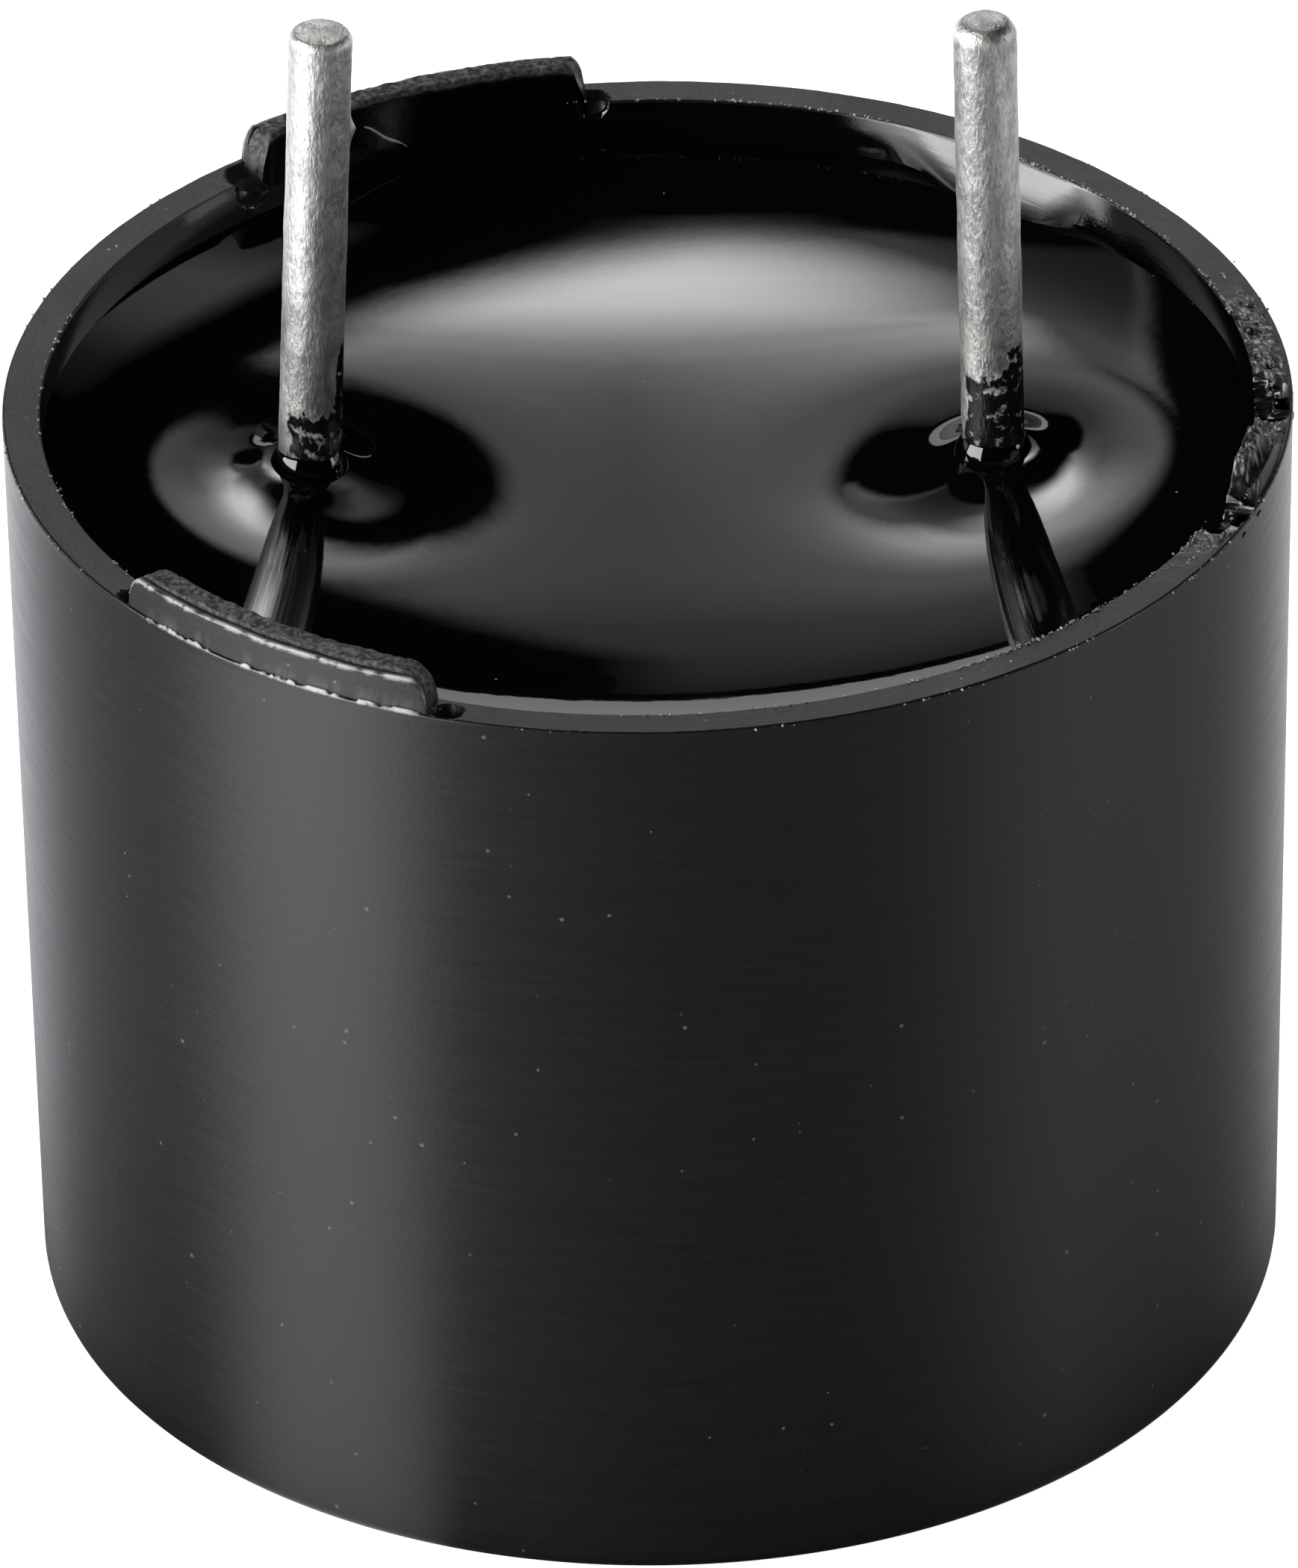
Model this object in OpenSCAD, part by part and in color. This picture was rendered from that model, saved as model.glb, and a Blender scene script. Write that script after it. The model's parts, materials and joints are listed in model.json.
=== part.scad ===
// Round piezo buzzer with two pins and a potted back.
// It stands on its closed sound-outlet face, with the pins up.
// The origin is the centre of the closed face and +Z points to the pins.

/* [Housing] */
// Outer diameter of the cup at its open rim
case_d = 12; // [11.6:0.1:13]
// Height from the closed face to the flat of the rim
case_h = 9.2; // [8.8:0.1:10.4]
// Wall thickness at the open rim
rim_wall = 0.35; // [0.3:0.05:0.5]
// Moulding draft: how much the outer radius shrinks down to the closed face
outer_draft = 0.075; // [0.04:0.005:0.12]
// Moulding draft of the core: how much the inner radius shrinks
inner_draft = 0.1; // [0.05:0.01:0.2]
// Thickness of the closed face
face_t = 0.8; // [0.6:0.1:1]
// Radius round the outer edge of the closed face
edge_r = 0.15; // [0.1:0.05:0.3]
// Diameter of the sound hole in the closed face
sound_hole_d = 2; // [1:0.1:3]
// Depth of the air chamber between the closed face and the diaphragm
chamber_h = 1.2; // [1:0.1:1.5]
// Width of the ledge that carries the diaphragm, beyond the chamber
ledge_overlap = 0.5; // [0.4:0.05:0.6]
// Inner reach of the three ribs that carry the board, from the diaphragm's edge
rib_clear = 0.1; // [0.05:0.01:0.15]
// Width of each rib
rib_w = 1; // [0.8:0.1:1.4]

/* [Breakaway tabs] */
// Direction of the middle of the first tab, in degrees from +X
tab_from = 112; // [105:1:120]
// Width of a tab across its two ends
tab_w = 3.45; // [3:0.05:3.8]
// Height of a tab's outer face above the rim
tab_h = 0.3; // [0.2:0.02:0.4]
// How far the rough broken crest stands above the outer face
crest_h = 0.08; // [0.04:0.01:0.12]
// Radial width of the crest
crest_w = 0.23; // [0.18:0.01:0.26]
// Inset of a tab's outer face from the edge of the rim
tab_inset = 0.03; // [0.02:0.01:0.06]
// Corner radius at the ends of a tab
tab_corner_r = 0.26; // [0.15:0.01:0.28]
// Share of the rim's width that the pit beside each end of a tab takes
pit_share = 0.85; // [0.7:0.01:0.88]
// Height of what is left of the third tab
stub_h = 0.1; // [0.06:0.01:0.14]
// Height of the thin fin left along the outside of the third tab
fin_h = 0.2; // [0.16:0.01:0.26]

/* [Piezo element] */
// Gap between the edge of the brass diaphragm and the cup, for the sealant
plate_gap = 0.47; // [0.4:0.01:0.55]
// Thickness of the brass diaphragm
plate_t = 0.15; // [0.1:0.01:0.2]
// Bare brass from the edge of the diaphragm to the ceramic disc
brass_margin = 1.5; // [1.4:0.05:1.6]
// Thickness of the ceramic disc
ceramic_t = 0.15; // [0.1:0.01:0.2]
// Bare ceramic from the edge of the disc to the silver electrode
ceramic_margin = 0.4; // [0.3:0.05:0.5]
// Thickness of the silver electrodes
electrode_t = 0.03; // [0.02:0.005:0.04]
// Width of the feedback tongue
tongue_w = 1.5; // [1.3:0.1:1.7]
// Length of the feedback tongue, from the edge of the electrode
tongue_l = 1.9; // [1.8:0.1:2.2]
// Bare gap round the feedback tongue
tongue_gap = 0.3; // [0.2:0.05:0.35]
// Height of the sealant bead over the edge of the diaphragm
sealant_h = 0.3; // [0.2:0.05:0.4]

/* [Circuit board] */
// Thickness of the board
board_t = 0.8; // [0.6:0.1:0.9]
// Gap between the edge of the board and the cup
board_clear = 0.15; // [0.1:0.01:0.18]
// Thickness of the copper lands and tracks
land_t = 0.035; // [0.03:0.005:0.05]
// Width of the tracks
track_w = 0.3; // [0.2:0.05:0.4]
// Radial gap between a pin and its hole in the board
hole_clear = 0.1; // [0.08:0.01:0.12]

/* [Pins] */
// Distance between the two pins at the board
pin_pitch = 6.5; // [6.3:0.1:6.7]
// Diameter of a tinned pin where it stands free
pin_d = 0.6; // [0.5:0.02:0.66]
// Thickness of the tinning on the free length
tinning_t = 0.02; // [0.02:0.005:0.04]
// Length over which the tinning thins out inside the resin
tinning_taper = 0.6; // [0.55:0.05:0.8]
// Height of the pin tips above the rim
pin_reach = 3.92; // [3.4:0.02:5]
// Length of pin below the board
pin_root = 0.5; // [0.4:0.05:0.6]
// Lean of the left pin towards the middle, in degrees
left_lean = 2.8; // [0:0.1:3]
// Lean of the right pin towards the middle, in degrees
right_lean = 1; // [0:0.1:3]
// Radius round the tip of the left pin
left_tip_r = 0.12; // [0.05:0.01:0.2]
// Radius round the tip of the right pin
right_tip_r = 0.2; // [0.05:0.01:0.22]

/* [Potting resin] */
// Depth of the foot of the pins' collars below the rim
potting_drop = 1; // [0.8:0.05:1.2]
// Thickness of the resin over the board
potting_t = 1.1; // [0.9:0.05:1.2]
// Depth of the middle of the dished resin below the collars' feet
dish_dip = 0.09; // [0.05:0.01:0.15]
// Height of the dish's edge at the wall above the collars' feet
wall_climb = 0.53; // [0.4:0.01:0.6]
// Height that the resin climbs each pin
collar_h = 0.45; // [0.4:0.01:0.5]
// Radius of the resin's hollow fillet round each pin
collar_r = 0.6; // [0.5:0.02:0.7]
// How far the foot of that fillet is sunk in the dish
collar_sink = 0.05; // [0.03:0.01:0.08]
// Thickness of the resin film at the top of the collar
collar_film = 0.03; // [0.02:0.005:0.05]

/* [Leads and solder] */
// Outer diameter of the insulated lead wires
lead_d = 0.5; // [0.4:0.02:0.56]
// Diameter of the copper core of a lead
core_d = 0.24; // [0.16:0.02:0.28]
// Bare core between the insulation and the solder
bare_l = 0.08; // [0.05:0.01:0.12]
// Height of a solder dome on a lead
dome_h = 0.28; // [0.2:0.02:0.32]
// Radius of a solder dome on a lead
dome_r = 0.38; // [0.34:0.01:0.4]
// Height of the solder fillet round a pin
fillet_h = 0.35; // [0.25:0.05:0.35]
// Radius of the solder fillet round a pin
fillet_r = 0.65; // [0.6:0.01:0.7]

/* [Chip parts] */
// Length of a chip resistor
chip_l = 1.6; // [1.5:0.05:1.7]
// Width of a chip resistor
chip_w = 0.85; // [0.75:0.05:0.9]
// Height of a chip resistor
chip_h = 0.5; // [0.4:0.05:0.55]
// Length of the transistor's body
body_l = 2.9; // [2.8:0.05:3]
// Width of the transistor's body
body_w = 1.3; // [1.2:0.05:1.4]
// Height of the transistor's body
body_h = 0.95; // [0.9:0.05:1.1]
// Distance from the middle leg of the transistor to the outer ones
leg_pitch = 0.95; // [0.9:0.05:1]
// How far the legs reach out of the transistor's body
leg_reach = 0.6; // [0.5:0.05:0.65]
// Width of the transistor's legs
leg_w = 0.4; // [0.3:0.02:0.5]
// Thickness of the transistor's legs
leg_t = 0.12; // [0.1:0.01:0.15]

/* [Hidden] */
$fn = 96;

// A small overlap where two shapes of one piece are joined
weld = 0.1;
// How far a cut reaches past what it cuts
past = 1;

// Levels, from the closed face up
seat_z = face_t + chamber_h;
plate_z = seat_z + plate_t;
ceramic_z = plate_z + ceramic_t;
silver_z = ceramic_z + electrode_t;
resin_z = case_h - potting_drop;
board_top_z = resin_z - potting_t;
board_z = board_top_z - board_t;
land_z = board_z - land_t;

// Radii, with the draft of the mould
function case_r(z) = case_d / 2 - outer_draft * (1 - z / case_h);
function cup_r(z) = case_d / 2 - rim_wall - inner_draft * (1 - z / case_h);
plate_r = cup_r(seat_z) - plate_gap;
ceramic_r = plate_r - brass_margin;
electrode_r = ceramic_r - ceramic_margin;
chamber_r = plate_r - ledge_overlap;
rib_r = plate_r + rib_clear;
board_r = cup_r(board_z) - board_clear;
pin_r = pin_d / 2;
root_r = pin_r - tinning_t;
hole_r = root_r + hole_clear;

// The three tabs stand evenly round the rim
tab_turns = [tab_from, tab_from + 120, tab_from + 240];
tab_in = cup_r(case_h);
tab_out = case_d / 2 - tab_inset;
fin_t = 0.1;
fin_gap = 0.05;
tear_gap = 0.3;
bevel = 0.05;
tab_half = asin(tab_w / 2 / tab_out);
pit_r = rim_wall * pit_share / 2;
pit_mid = case_d / 2 - rim_wall / 2;
pit_side = tab_w / 2 + pit_r * 0.6;

// Places on the board, as seen from above, most as shares of its radius
left_hole = [-pin_pitch / 2, 0];
right_hole = [pin_pitch / 2, 0];
transistor_at = board_r * [0.12, 0.46];
load_at = board_r * [-0.43, 0.6];
base_at = board_r * [-0.365, 0.245];
feedback_at = board_r * [-0.12, -0.1];
main_pad = board_r * [0.35, 0.71];
feedback_pad = board_r * [-0.24, -0.475];
plate_pad = board_r * [0.42, -0.44];

// Places on the disc
main_joint = electrode_r * [0.4, 0.5];
feedback_joint = [0, tongue_w / 2 - electrode_r];
sealant_lap = 0.35;
plate_joint_r = (ceramic_r + plate_r - sealant_lap) / 2;
plate_joint_turn = -30;
plate_joint = plate_joint_r * [cos(plate_joint_turn), sin(plate_joint_turn)];
joints = [
    [main_joint, silver_z, main_pad],
    [feedback_joint, silver_z, feedback_pad],
    [plate_joint, plate_z, plate_pad]
];

// Legs and ends of the chip parts, measured from each part's own middle
leg_slope = 0.15;
foot_l = 0.32;
body_draft = 0.08;
leg_foot = body_w / 2 + leg_reach - foot_l / 2;
body_gap = 0.08;
end_t = 0.04;
end_l = 0.35;
end_pad = chip_l / 2;
pad_l = 0.8;
pad_margin = 0.05;
wedge_l = 0.3;
legs = [[-leg_pitch, -1], [leg_pitch, -1], [0, 1]];
base_leg = transistor_at + [-leg_pitch, -leg_foot];
emitter_leg = transistor_at + [leg_pitch, -leg_foot];
collector_leg = transistor_at + [0, leg_foot];
load_in = load_at - [end_pad, 0];
load_out = load_at + [end_pad, 0];
base_in = base_at - [end_pad, 0];
base_out = base_at + [end_pad, 0];
feedback_in = feedback_at - [0, end_pad];
feedback_out = feedback_at + [0, end_pad];
tracks = [
    [left_hole, load_in], [left_hole, base_in], [load_out, collector_leg],
    [collector_leg, main_pad], [base_out, base_leg], [base_leg, feedback_out],
    [feedback_in, feedback_pad], [emitter_leg, right_hole], [plate_pad, right_hole]
];
resistors = [[load_at, 0], [base_at, 0], [feedback_at, 90]];

// Fineness of the leads
lead_steps = 14;
lead_sides = 12;

// ---- Housing ----

// Outside of the cup, half a section
module cup_section() {
    r = case_r(edge_r);
    polygon([
        [0, 0], [r - edge_r, 0], [r - edge_r, edge_r], [r, edge_r],
        [case_r(case_h), case_h], [0, case_h]
    ]);
    translate([r - edge_r, edge_r]) circle(edge_r);
}

// Stepped inside of the cup, half a section
module bore_section() {
    polygon([
        [0, face_t], [chamber_r, face_t], [chamber_r, seat_z],
        [cup_r(seat_z), seat_z], [cup_r(case_h + past), case_h + past],
        [0, case_h + past]
    ]);
}

module ribs() {
    for (a = tab_turns)
        rotate(a)
            translate([rib_r, -rib_w / 2, seat_z - weld])
                cube([cup_r(seat_z) + weld - rib_r, rib_w, board_z - seat_z + weld]);
}

// Front view of a tab: a bar with two round upper corners
module tab_face(w, h, r) {
    translate([-w / 2, -weld]) square([w, h - r + weld]);
    translate([r - w / 2, -weld]) square([w - 2 * r, h + weld]);
    for (side = [-1, 1])
        translate([side * (w / 2 - r), h - r]) circle(r);
}

// Section of a tab: a smooth outer shoulder and a raised broken crest.
// It reaches past the inner wall, and the bore then cuts it flush.
module tab_section() {
    back = tab_in - weld;
    crest_out = tab_in + crest_w;
    top = tab_h + crest_h;
    translate([back, -weld]) square([tab_out - back, tab_h + weld]);
    polygon([
        [back, 0], [crest_out, 0], [crest_out, top - bevel / 2],
        [crest_out - bevel / 2, top], [tab_in + bevel, top], [back, top - bevel - weld]
    ]);
}

module tab() {
    intersection() {
        rotate_extrude() tab_section();
        rotate([90, 0, 90])
            translate([0, 0, tab_in / 2])
                linear_extrude(case_d / 2) tab_face(tab_w, tab_h + crest_h, tab_corner_r);
    }
}

// A low piece of ring that stands on the rim
module ring_piece(from, to, r1, r2, h) {
    rotate_extrude(angle = to - from, start = from)
        translate([r1, -weld]) square([r2 - r1, h + weld]);
}

// What is left where the third tab broke away, with its middle at angle 0:
// a stub, a thin fin along the outside and a low torn piece
module broken_tab() {
    split = tab_out - fin_t;
    ring_piece(-0.65 * tab_half, -0.12 * tab_half, tab_in - weld, split - fin_gap, stub_h);
    ring_piece(-0.95 * tab_half, -0.06 * tab_half, split, tab_out, fin_h);
    ring_piece(0.48 * tab_half, 1.2 * tab_half, tab_in + fin_gap, split, stub_h * 0.6);
}

module pit(side) {
    translate([sqrt(pit_mid * pit_mid - side * side), side, 0]) sphere(pit_r);
}

// Pits at both ends of the tabs, and the two that the third one tore open
module pits() {
    for (a = tab_turns) rotate(a) pit(-pit_side);
    rotate(tab_turns[0]) pit(pit_side);
    rotate(tab_turns[1]) pit(pit_side);
    rotate(tab_turns[2]) pit(tear_gap);
}

module housing() {
    color("#1d1c1f")
    union() {
        difference() {
            union() {
                rotate_extrude() cup_section();
                translate([0, 0, case_h]) {
                    rotate(tab_turns[0]) tab();
                    rotate(tab_turns[1]) tab();
                    rotate(tab_turns[2]) broken_tab();
                }
            }
            rotate_extrude() bore_section();
            translate([0, 0, -weld]) cylinder(d = sound_hole_d, h = face_t + 2 * weld);
            translate([0, 0, case_h]) pits();
        }
        ribs();
    }
}

// ---- Piezo element ----

module diaphragm_plate() {
    color("#c9a04b")
    translate([0, 0, seat_z]) cylinder(r = plate_r, h = plate_t);
}

module piezo_ceramic() {
    color("#d8d2bf")
    translate([0, 0, plate_z]) cylinder(r = ceramic_r, h = ceramic_t);
}

// Outline of the feedback tongue, grown by a margin
module tongue(grow) {
    w = tongue_w / 2 + grow;
    end_y = tongue_l - electrode_r - tongue_w / 2;
    start_y = -electrode_r - tongue_l;
    translate([0, end_y]) circle(w);
    translate([-w, start_y]) square([2 * w, end_y - start_y]);
}

module main_electrode() {
    color("#c4c6c8")
    translate([0, 0, ceramic_z])
        linear_extrude(electrode_t)
            difference() {
                circle(electrode_r);
                tongue(tongue_gap);
            }
}

module feedback_electrode() {
    color("#c4c6c8")
    translate([0, 0, ceramic_z])
        linear_extrude(electrode_t)
            intersection() {
                circle(electrode_r);
                tongue(0);
            }
}

// Elastic bead that holds and seals the edge of the diaphragm
module diaphragm_sealant() {
    top = plate_z + sealant_h;
    inner = plate_r - sealant_lap;
    color("#e6e3da")
    difference() {
        rotate_extrude()
            polygon([
                [plate_r, seat_z], [cup_r(seat_z), seat_z], [cup_r(top), top],
                [rib_r, top], [inner + rib_clear, plate_z + sealant_h * 0.4],
                [inner, plate_z], [plate_r, plate_z]
            ]);
        ribs();
    }
}

// ---- Circuit board ----

module pin_holes(r) {
    for (p = [left_hole, right_hole])
        translate(p) circle(r);
}

module circuit_board() {
    color("#b58a4c")
    translate([0, 0, board_z])
        linear_extrude(board_t)
            difference() {
                circle(board_r);
                pin_holes(hole_r);
            }
}

module track(p, q) {
    d = q - p;
    translate(p)
        rotate(atan2(d[1], d[0]))
            translate([0, -track_w / 2]) square([norm(d), track_w]);
}

module chip_lands(at, turn) {
    translate(at)
        rotate(turn)
            for (side = [-1, 1])
                translate([side * end_pad, 0])
                    square([pad_l, chip_w + pad_margin], center = true);
}

module board_lands() {
    color("#c27b4a")
    translate([0, 0, land_z])
        linear_extrude(land_t)
            difference() {
                union() {
                    for (t = tracks) track(t[0], t[1]);
                    for (r = resistors) chip_lands(r[0], r[1]);
                    for (p = [base_leg, emitter_leg, collector_leg])
                        translate(p)
                            square([leg_w + 4 * pad_margin, foot_l + 8 * pad_margin], center = true);
                    for (p = [main_pad, feedback_pad, plate_pad])
                        translate(p) circle(dome_r + 2 * pad_margin);
                    pin_holes(fillet_r + 2 * pad_margin);
                }
                pin_holes(hole_r);
            }
}

// Places a chip part under the board, so that its own +Z points down
module under_board(at, turn = 0) {
    translate([at[0], at[1], land_z])
        mirror([0, 0, 1])
            rotate(turn) children();
}

// Moulded body with drafted sides and a flat band where its legs leave
module transistor() {
    w = body_w / 2;
    mid = body_gap + body_h * 0.4;
    top = body_gap + body_h;
    color("#26262a")
    under_board(transistor_at)
        rotate([90, 0, 90])
            linear_extrude(body_l, center = true)
                polygon([
                    [body_draft - w, body_gap], [w - body_draft, body_gap],
                    [w, mid - leg_t / 2], [w, mid + leg_t / 2],
                    [w - body_draft, top], [body_draft - w, top],
                    [-w, mid + leg_t / 2], [-w, mid - leg_t / 2]
                ]);
}

// Gull-wing leg: out of the body, down and along the land
module leg() {
    w = body_w / 2;
    mid = body_gap + body_h * 0.4;
    toe = w + leg_reach;
    heel = toe - foot_l;
    rotate([90, 0, 90])
        linear_extrude(leg_w, center = true)
            polygon([
                [w, mid - leg_t / 2], [heel - leg_slope, mid - leg_t / 2], [heel, 0],
                [toe, 0], [toe, leg_t], [heel + leg_slope / 2, leg_t],
                [heel - leg_slope / 3, mid + leg_t / 2], [w, mid + leg_t / 2]
            ]);
}

module transistor_legs() {
    color("#b9babc")
    under_board(transistor_at)
        for (l = legs)
            translate([l[0], 0, 0]) rotate(l[1] > 0 ? 0 : 180) leg();
}

module resistor_body() {
    color("#e9e6df")
    translate([0, 0, chip_h / 2])
        cube([chip_l - 2 * end_t, chip_w - 2 * end_t, chip_h - 2 * end_t], center = true);
}

module load_resistor() {
    under_board(load_at) resistor_body();
}

module base_resistor() {
    under_board(base_at) resistor_body();
}

module feedback_resistor() {
    under_board(feedback_at, 90) resistor_body();
}

// Plated caps on the ends of the three resistors
module resistor_ends() {
    color("#c6c8ca")
    for (r = resistors, side = [-1, 1])
        under_board(r[0], r[1])
            difference() {
                translate([side * (chip_l - end_l) / 2, 0, chip_h / 2])
                    cube([end_l, chip_w, chip_h], center = true);
                resistor_body();
            }
}

// Wedge of solder against the face of an end or a toe
module wedge(w, l, h) {
    rotate([90, 0, 0])
        linear_extrude(w, center = true)
            polygon([[0, 0], [l, 0], [l * 0.4, h * 0.3], [0, h]]);
}

module chip_solder() {
    color("#aeb0b3")
    union() {
        for (r = resistors, side = [0, 180])
            under_board(r[0], r[1])
                rotate(side)
                    translate([chip_l / 2, 0, 0])
                        wedge(chip_w - 2 * pad_margin, wedge_l, chip_h * 0.7);
        under_board(transistor_at)
            for (l = legs)
                translate([l[0], 0, 0])
                    rotate(l[1] > 0 ? 90 : -90)
                        translate([body_w / 2 + leg_reach, 0, 0]) wedge(leg_w, wedge_l / 2, leg_t);
    }
}

// ---- Leads ----

// A lead's route in its own upright plane, as [across, up, lean]: an S from joint to pad
function route(l, z1, z2) = [
    for (i = [0:lead_steps])
        let (t = i / lead_steps)
            [
                l * (1 - cos(180 * t)) / 2,
                z1 + (z2 - z1) * t,
                atan2(l * PI / 2 * sin(180 * t), z2 - z1)
            ]
];

// Rings of points of radius r round a route
function ring_points(path, r) = [
    for (p = path, k = [0:lead_sides - 1])
        let (a = 360 * k / lead_sides)
            [p[0] + r * cos(a) * cos(p[2]), r * sin(a), p[1] - r * cos(a) * sin(p[2])]
];

// Faces of the tube wall between the rings, first point at index base
function wall_faces(rings, base, inward) = [
    for (i = [0:rings - 2], k = [0:lead_sides - 1])
        let (
            next = (k + 1) % lead_sides,
            p = base + i * lead_sides,
            q = p + lead_sides
        )
            inward ? [p + k, p + next, q + next, q + k] : [p + k, q + k, q + next, p + next]
];

// Solid wire along a route
module wire(path, r) {
    n = len(path);
    last = (n - 1) * lead_sides;
    polyhedron(
        ring_points(path, r),
        concat(
            wall_faces(n, 0, false),
            [[for (k = [0:lead_sides - 1]) k]],
            [[for (k = [lead_sides - 1:-1:0]) last + k]]
        )
    );
}

// Hollow sleeve along a route
module sleeve(path, r1, r2) {
    n = len(path);
    inner = n * lead_sides;
    last = (n - 1) * lead_sides;
    polyhedron(
        concat(ring_points(path, r2), ring_points(path, r1)),
        concat(
            wall_faces(n, 0, false),
            wall_faces(n, inner, true),
            [
                for (k = [0:lead_sides - 1])
                    let (next = (k + 1) % lead_sides)
                        [k, next, inner + next, inner + k]
            ],
            [
                for (k = [0:lead_sides - 1])
                    let (next = (k + 1) % lead_sides)
                        [last + next, last + k, last + inner + k, last + inner + next]
            ]
        )
    );
}

// Turns a lead's upright plane from its joint on the disc towards its pad
module in_plane_of(j) {
    d = j[2] - j[0];
    translate([j[0][0], j[0][1], 0]) rotate(atan2(d[1], d[0])) children();
}

function insulated(j) =
    route(norm(j[2] - j[0]), j[1] + dome_h + bare_l, land_z - dome_h - bare_l);

module insulation(j) {
    in_plane_of(j) sleeve(insulated(j), core_d / 2, lead_d / 2);
}

module main_lead() {
    color("#b3262b") insulation(joints[0]);
}

module feedback_lead() {
    color("#2b55a8") insulation(joints[1]);
}

module plate_lead() {
    color("#26262a") insulation(joints[2]);
}

// Copper cores, from inside the solder on the disc to inside that on the board
module lead_cores() {
    color("#c98a5a")
    for (j = joints)
        in_plane_of(j)
            wire(
                concat(
                    [[0, j[1] + core_d / 4, 0]],
                    insulated(j),
                    [[norm(j[2] - j[0]), land_z - core_d / 4, 0]]
                ),
                core_d / 2
            );
}

// Solder dome with the socket that a lead's core fills
module dome() {
    ball = (dome_r * dome_r + dome_h * dome_h) / 2 / dome_h;
    difference() {
        intersection() {
            translate([0, 0, dome_h - ball]) sphere(ball);
            cylinder(r = dome_r + weld, h = dome_h + weld);
        }
        translate([0, 0, core_d / 4]) cylinder(d = core_d, h = dome_h);
    }
}

module disc_solder() {
    color("#aeb0b3")
    for (j = joints)
        translate([j[0][0], j[0][1], j[1]]) dome();
}

module board_solder() {
    color("#aeb0b3")
    for (j = joints)
        under_board(j[2]) dome();
}

// ---- Pins ----

// Stands things on a pin's own axis, which crosses the middle of its board hole
module on_pin(side) {
    lean = side < 0 ? left_lean : -right_lean;
    translate([side * pin_pitch / 2, 0, board_z + board_t / 2])
        rotate([0, lean, 0]) children();
}

// Where the bare wire ends and the tinned free length begins, along the pin
function free_from(side) =
    (resin_z - board_z - board_t / 2) / cos(side < 0 ? left_lean : right_lean) + collar_h;

function tip_at(side) =
    (case_h + pin_reach - board_z - board_t / 2) / cos(side < 0 ? left_lean : right_lean);

// Half section of the bare wire from a level up to where the tinning is full
module root_section(side, bottom) {
    polygon([
        [0, bottom], [root_r, bottom], [root_r, free_from(side) - tinning_taper],
        [pin_r, free_from(side)], [0, free_from(side)]
    ]);
}

// Round wire, bare in the resin and tinned above it, with a rounded tip
module pin(side, tip_r) {
    tip = tip_at(side);
    on_pin(side)
        rotate_extrude() {
            root_section(side, -board_t / 2 - pin_root);
            translate([0, free_from(side)]) square([pin_r, tip - tip_r - free_from(side)]);
            translate([0, free_from(side)]) square([pin_r - tip_r, tip - free_from(side)]);
            intersection() {
                translate([pin_r - tip_r, tip - tip_r]) circle(tip_r);
                square([pin_r, tip]);
            }
        }
}

module left_pin() {
    color("#c9c8c4") pin(-1, left_tip_r);
}

module right_pin() {
    color("#c9c8c4") pin(1, right_tip_r);
}

// Bare wire, as a cutter for what is cast or soldered round it
module wire_cutter(side) {
    on_pin(side)
        rotate_extrude() {
            root_section(side, -board_t - pin_root - weld);
            translate([0, free_from(side)]) square([pin_r, weld]);
        }
}

// Solder that fills the board's holes and rises round the ends of the pins
module pin_solder() {
    color("#aeb0b3")
    for (side = [-1, 1])
        difference() {
            union() {
                translate([side * pin_pitch / 2, 0, land_z])
                    cylinder(r = hole_r, h = board_top_z - land_z);
                under_board([side * pin_pitch / 2, 0])
                    rotate_extrude()
                        difference() {
                            square([fillet_r, fillet_h]);
                            translate([fillet_r, fillet_h]) circle(fillet_h);
                        }
            }
            wire_cutter(side);
        }
}

// ---- Potting resin ----

// Top hollowed to a shallow dish by one large ball, and a skirt round the board
module resin_section() {
    wall_r = cup_r(resin_z + wall_climb);
    dish_depth = dish_dip + wall_climb;
    dish_r = (wall_r * wall_r + dish_depth * dish_depth) / (2 * dish_depth);
    over_z = resin_z + wall_climb + past;
    difference() {
        polygon([
            [0, board_top_z], [board_r, board_top_z], [board_r, board_z],
            [cup_r(board_z), board_z], [cup_r(over_z), over_z], [0, over_z]
        ]);
        translate([0, resin_z - dish_dip + dish_r]) circle(dish_r);
    }
}

// Resin that wets a pin: a hollow fillet below and a film above that thins out
module collar(side) {
    film_r = pin_r + collar_film;
    film_z = collar_h * 0.8;
    middle_z = collar_r - collar_sink;
    outer_r = film_r + sqrt(pow(collar_r, 2) - pow(middle_z - film_z, 2));
    top_r = pin_r + collar_film / 2;
    base = free_from(side) - collar_h;
    on_pin(side)
        translate([0, 0, base])
            rotate_extrude()
                difference() {
                    translate([0, -weld]) square([outer_r, collar_h + weld]);
                    translate([outer_r, middle_z]) circle(collar_r);
                    polygon([
                        [film_r, film_z], [outer_r + past, film_z],
                        [outer_r + past, collar_h + past], [top_r, collar_h + past],
                        [top_r, collar_h]
                    ]);
                }
}

module potting_resin() {
    color("#0b0b0d")
    difference() {
        union() {
            rotate_extrude() resin_section();
            collar(-1);
            collar(1);
        }
        wire_cutter(-1);
        wire_cutter(1);
    }
}

housing();
diaphragm_plate();
piezo_ceramic();
main_electrode();
feedback_electrode();
diaphragm_sealant();
circuit_board();
board_lands();
transistor();
transistor_legs();
load_resistor();
base_resistor();
feedback_resistor();
resistor_ends();
chip_solder();
main_lead();
feedback_lead();
plate_lead();
lead_cores();
disc_solder();
board_solder();
pin_solder();
left_pin();
right_pin();
potting_resin();
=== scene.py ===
import json
import random
from math import cos, pi, radians, sin, sqrt, tan

import bpy
import numpy as np
from mathutils import Matrix, Vector, geometry, noise


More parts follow.
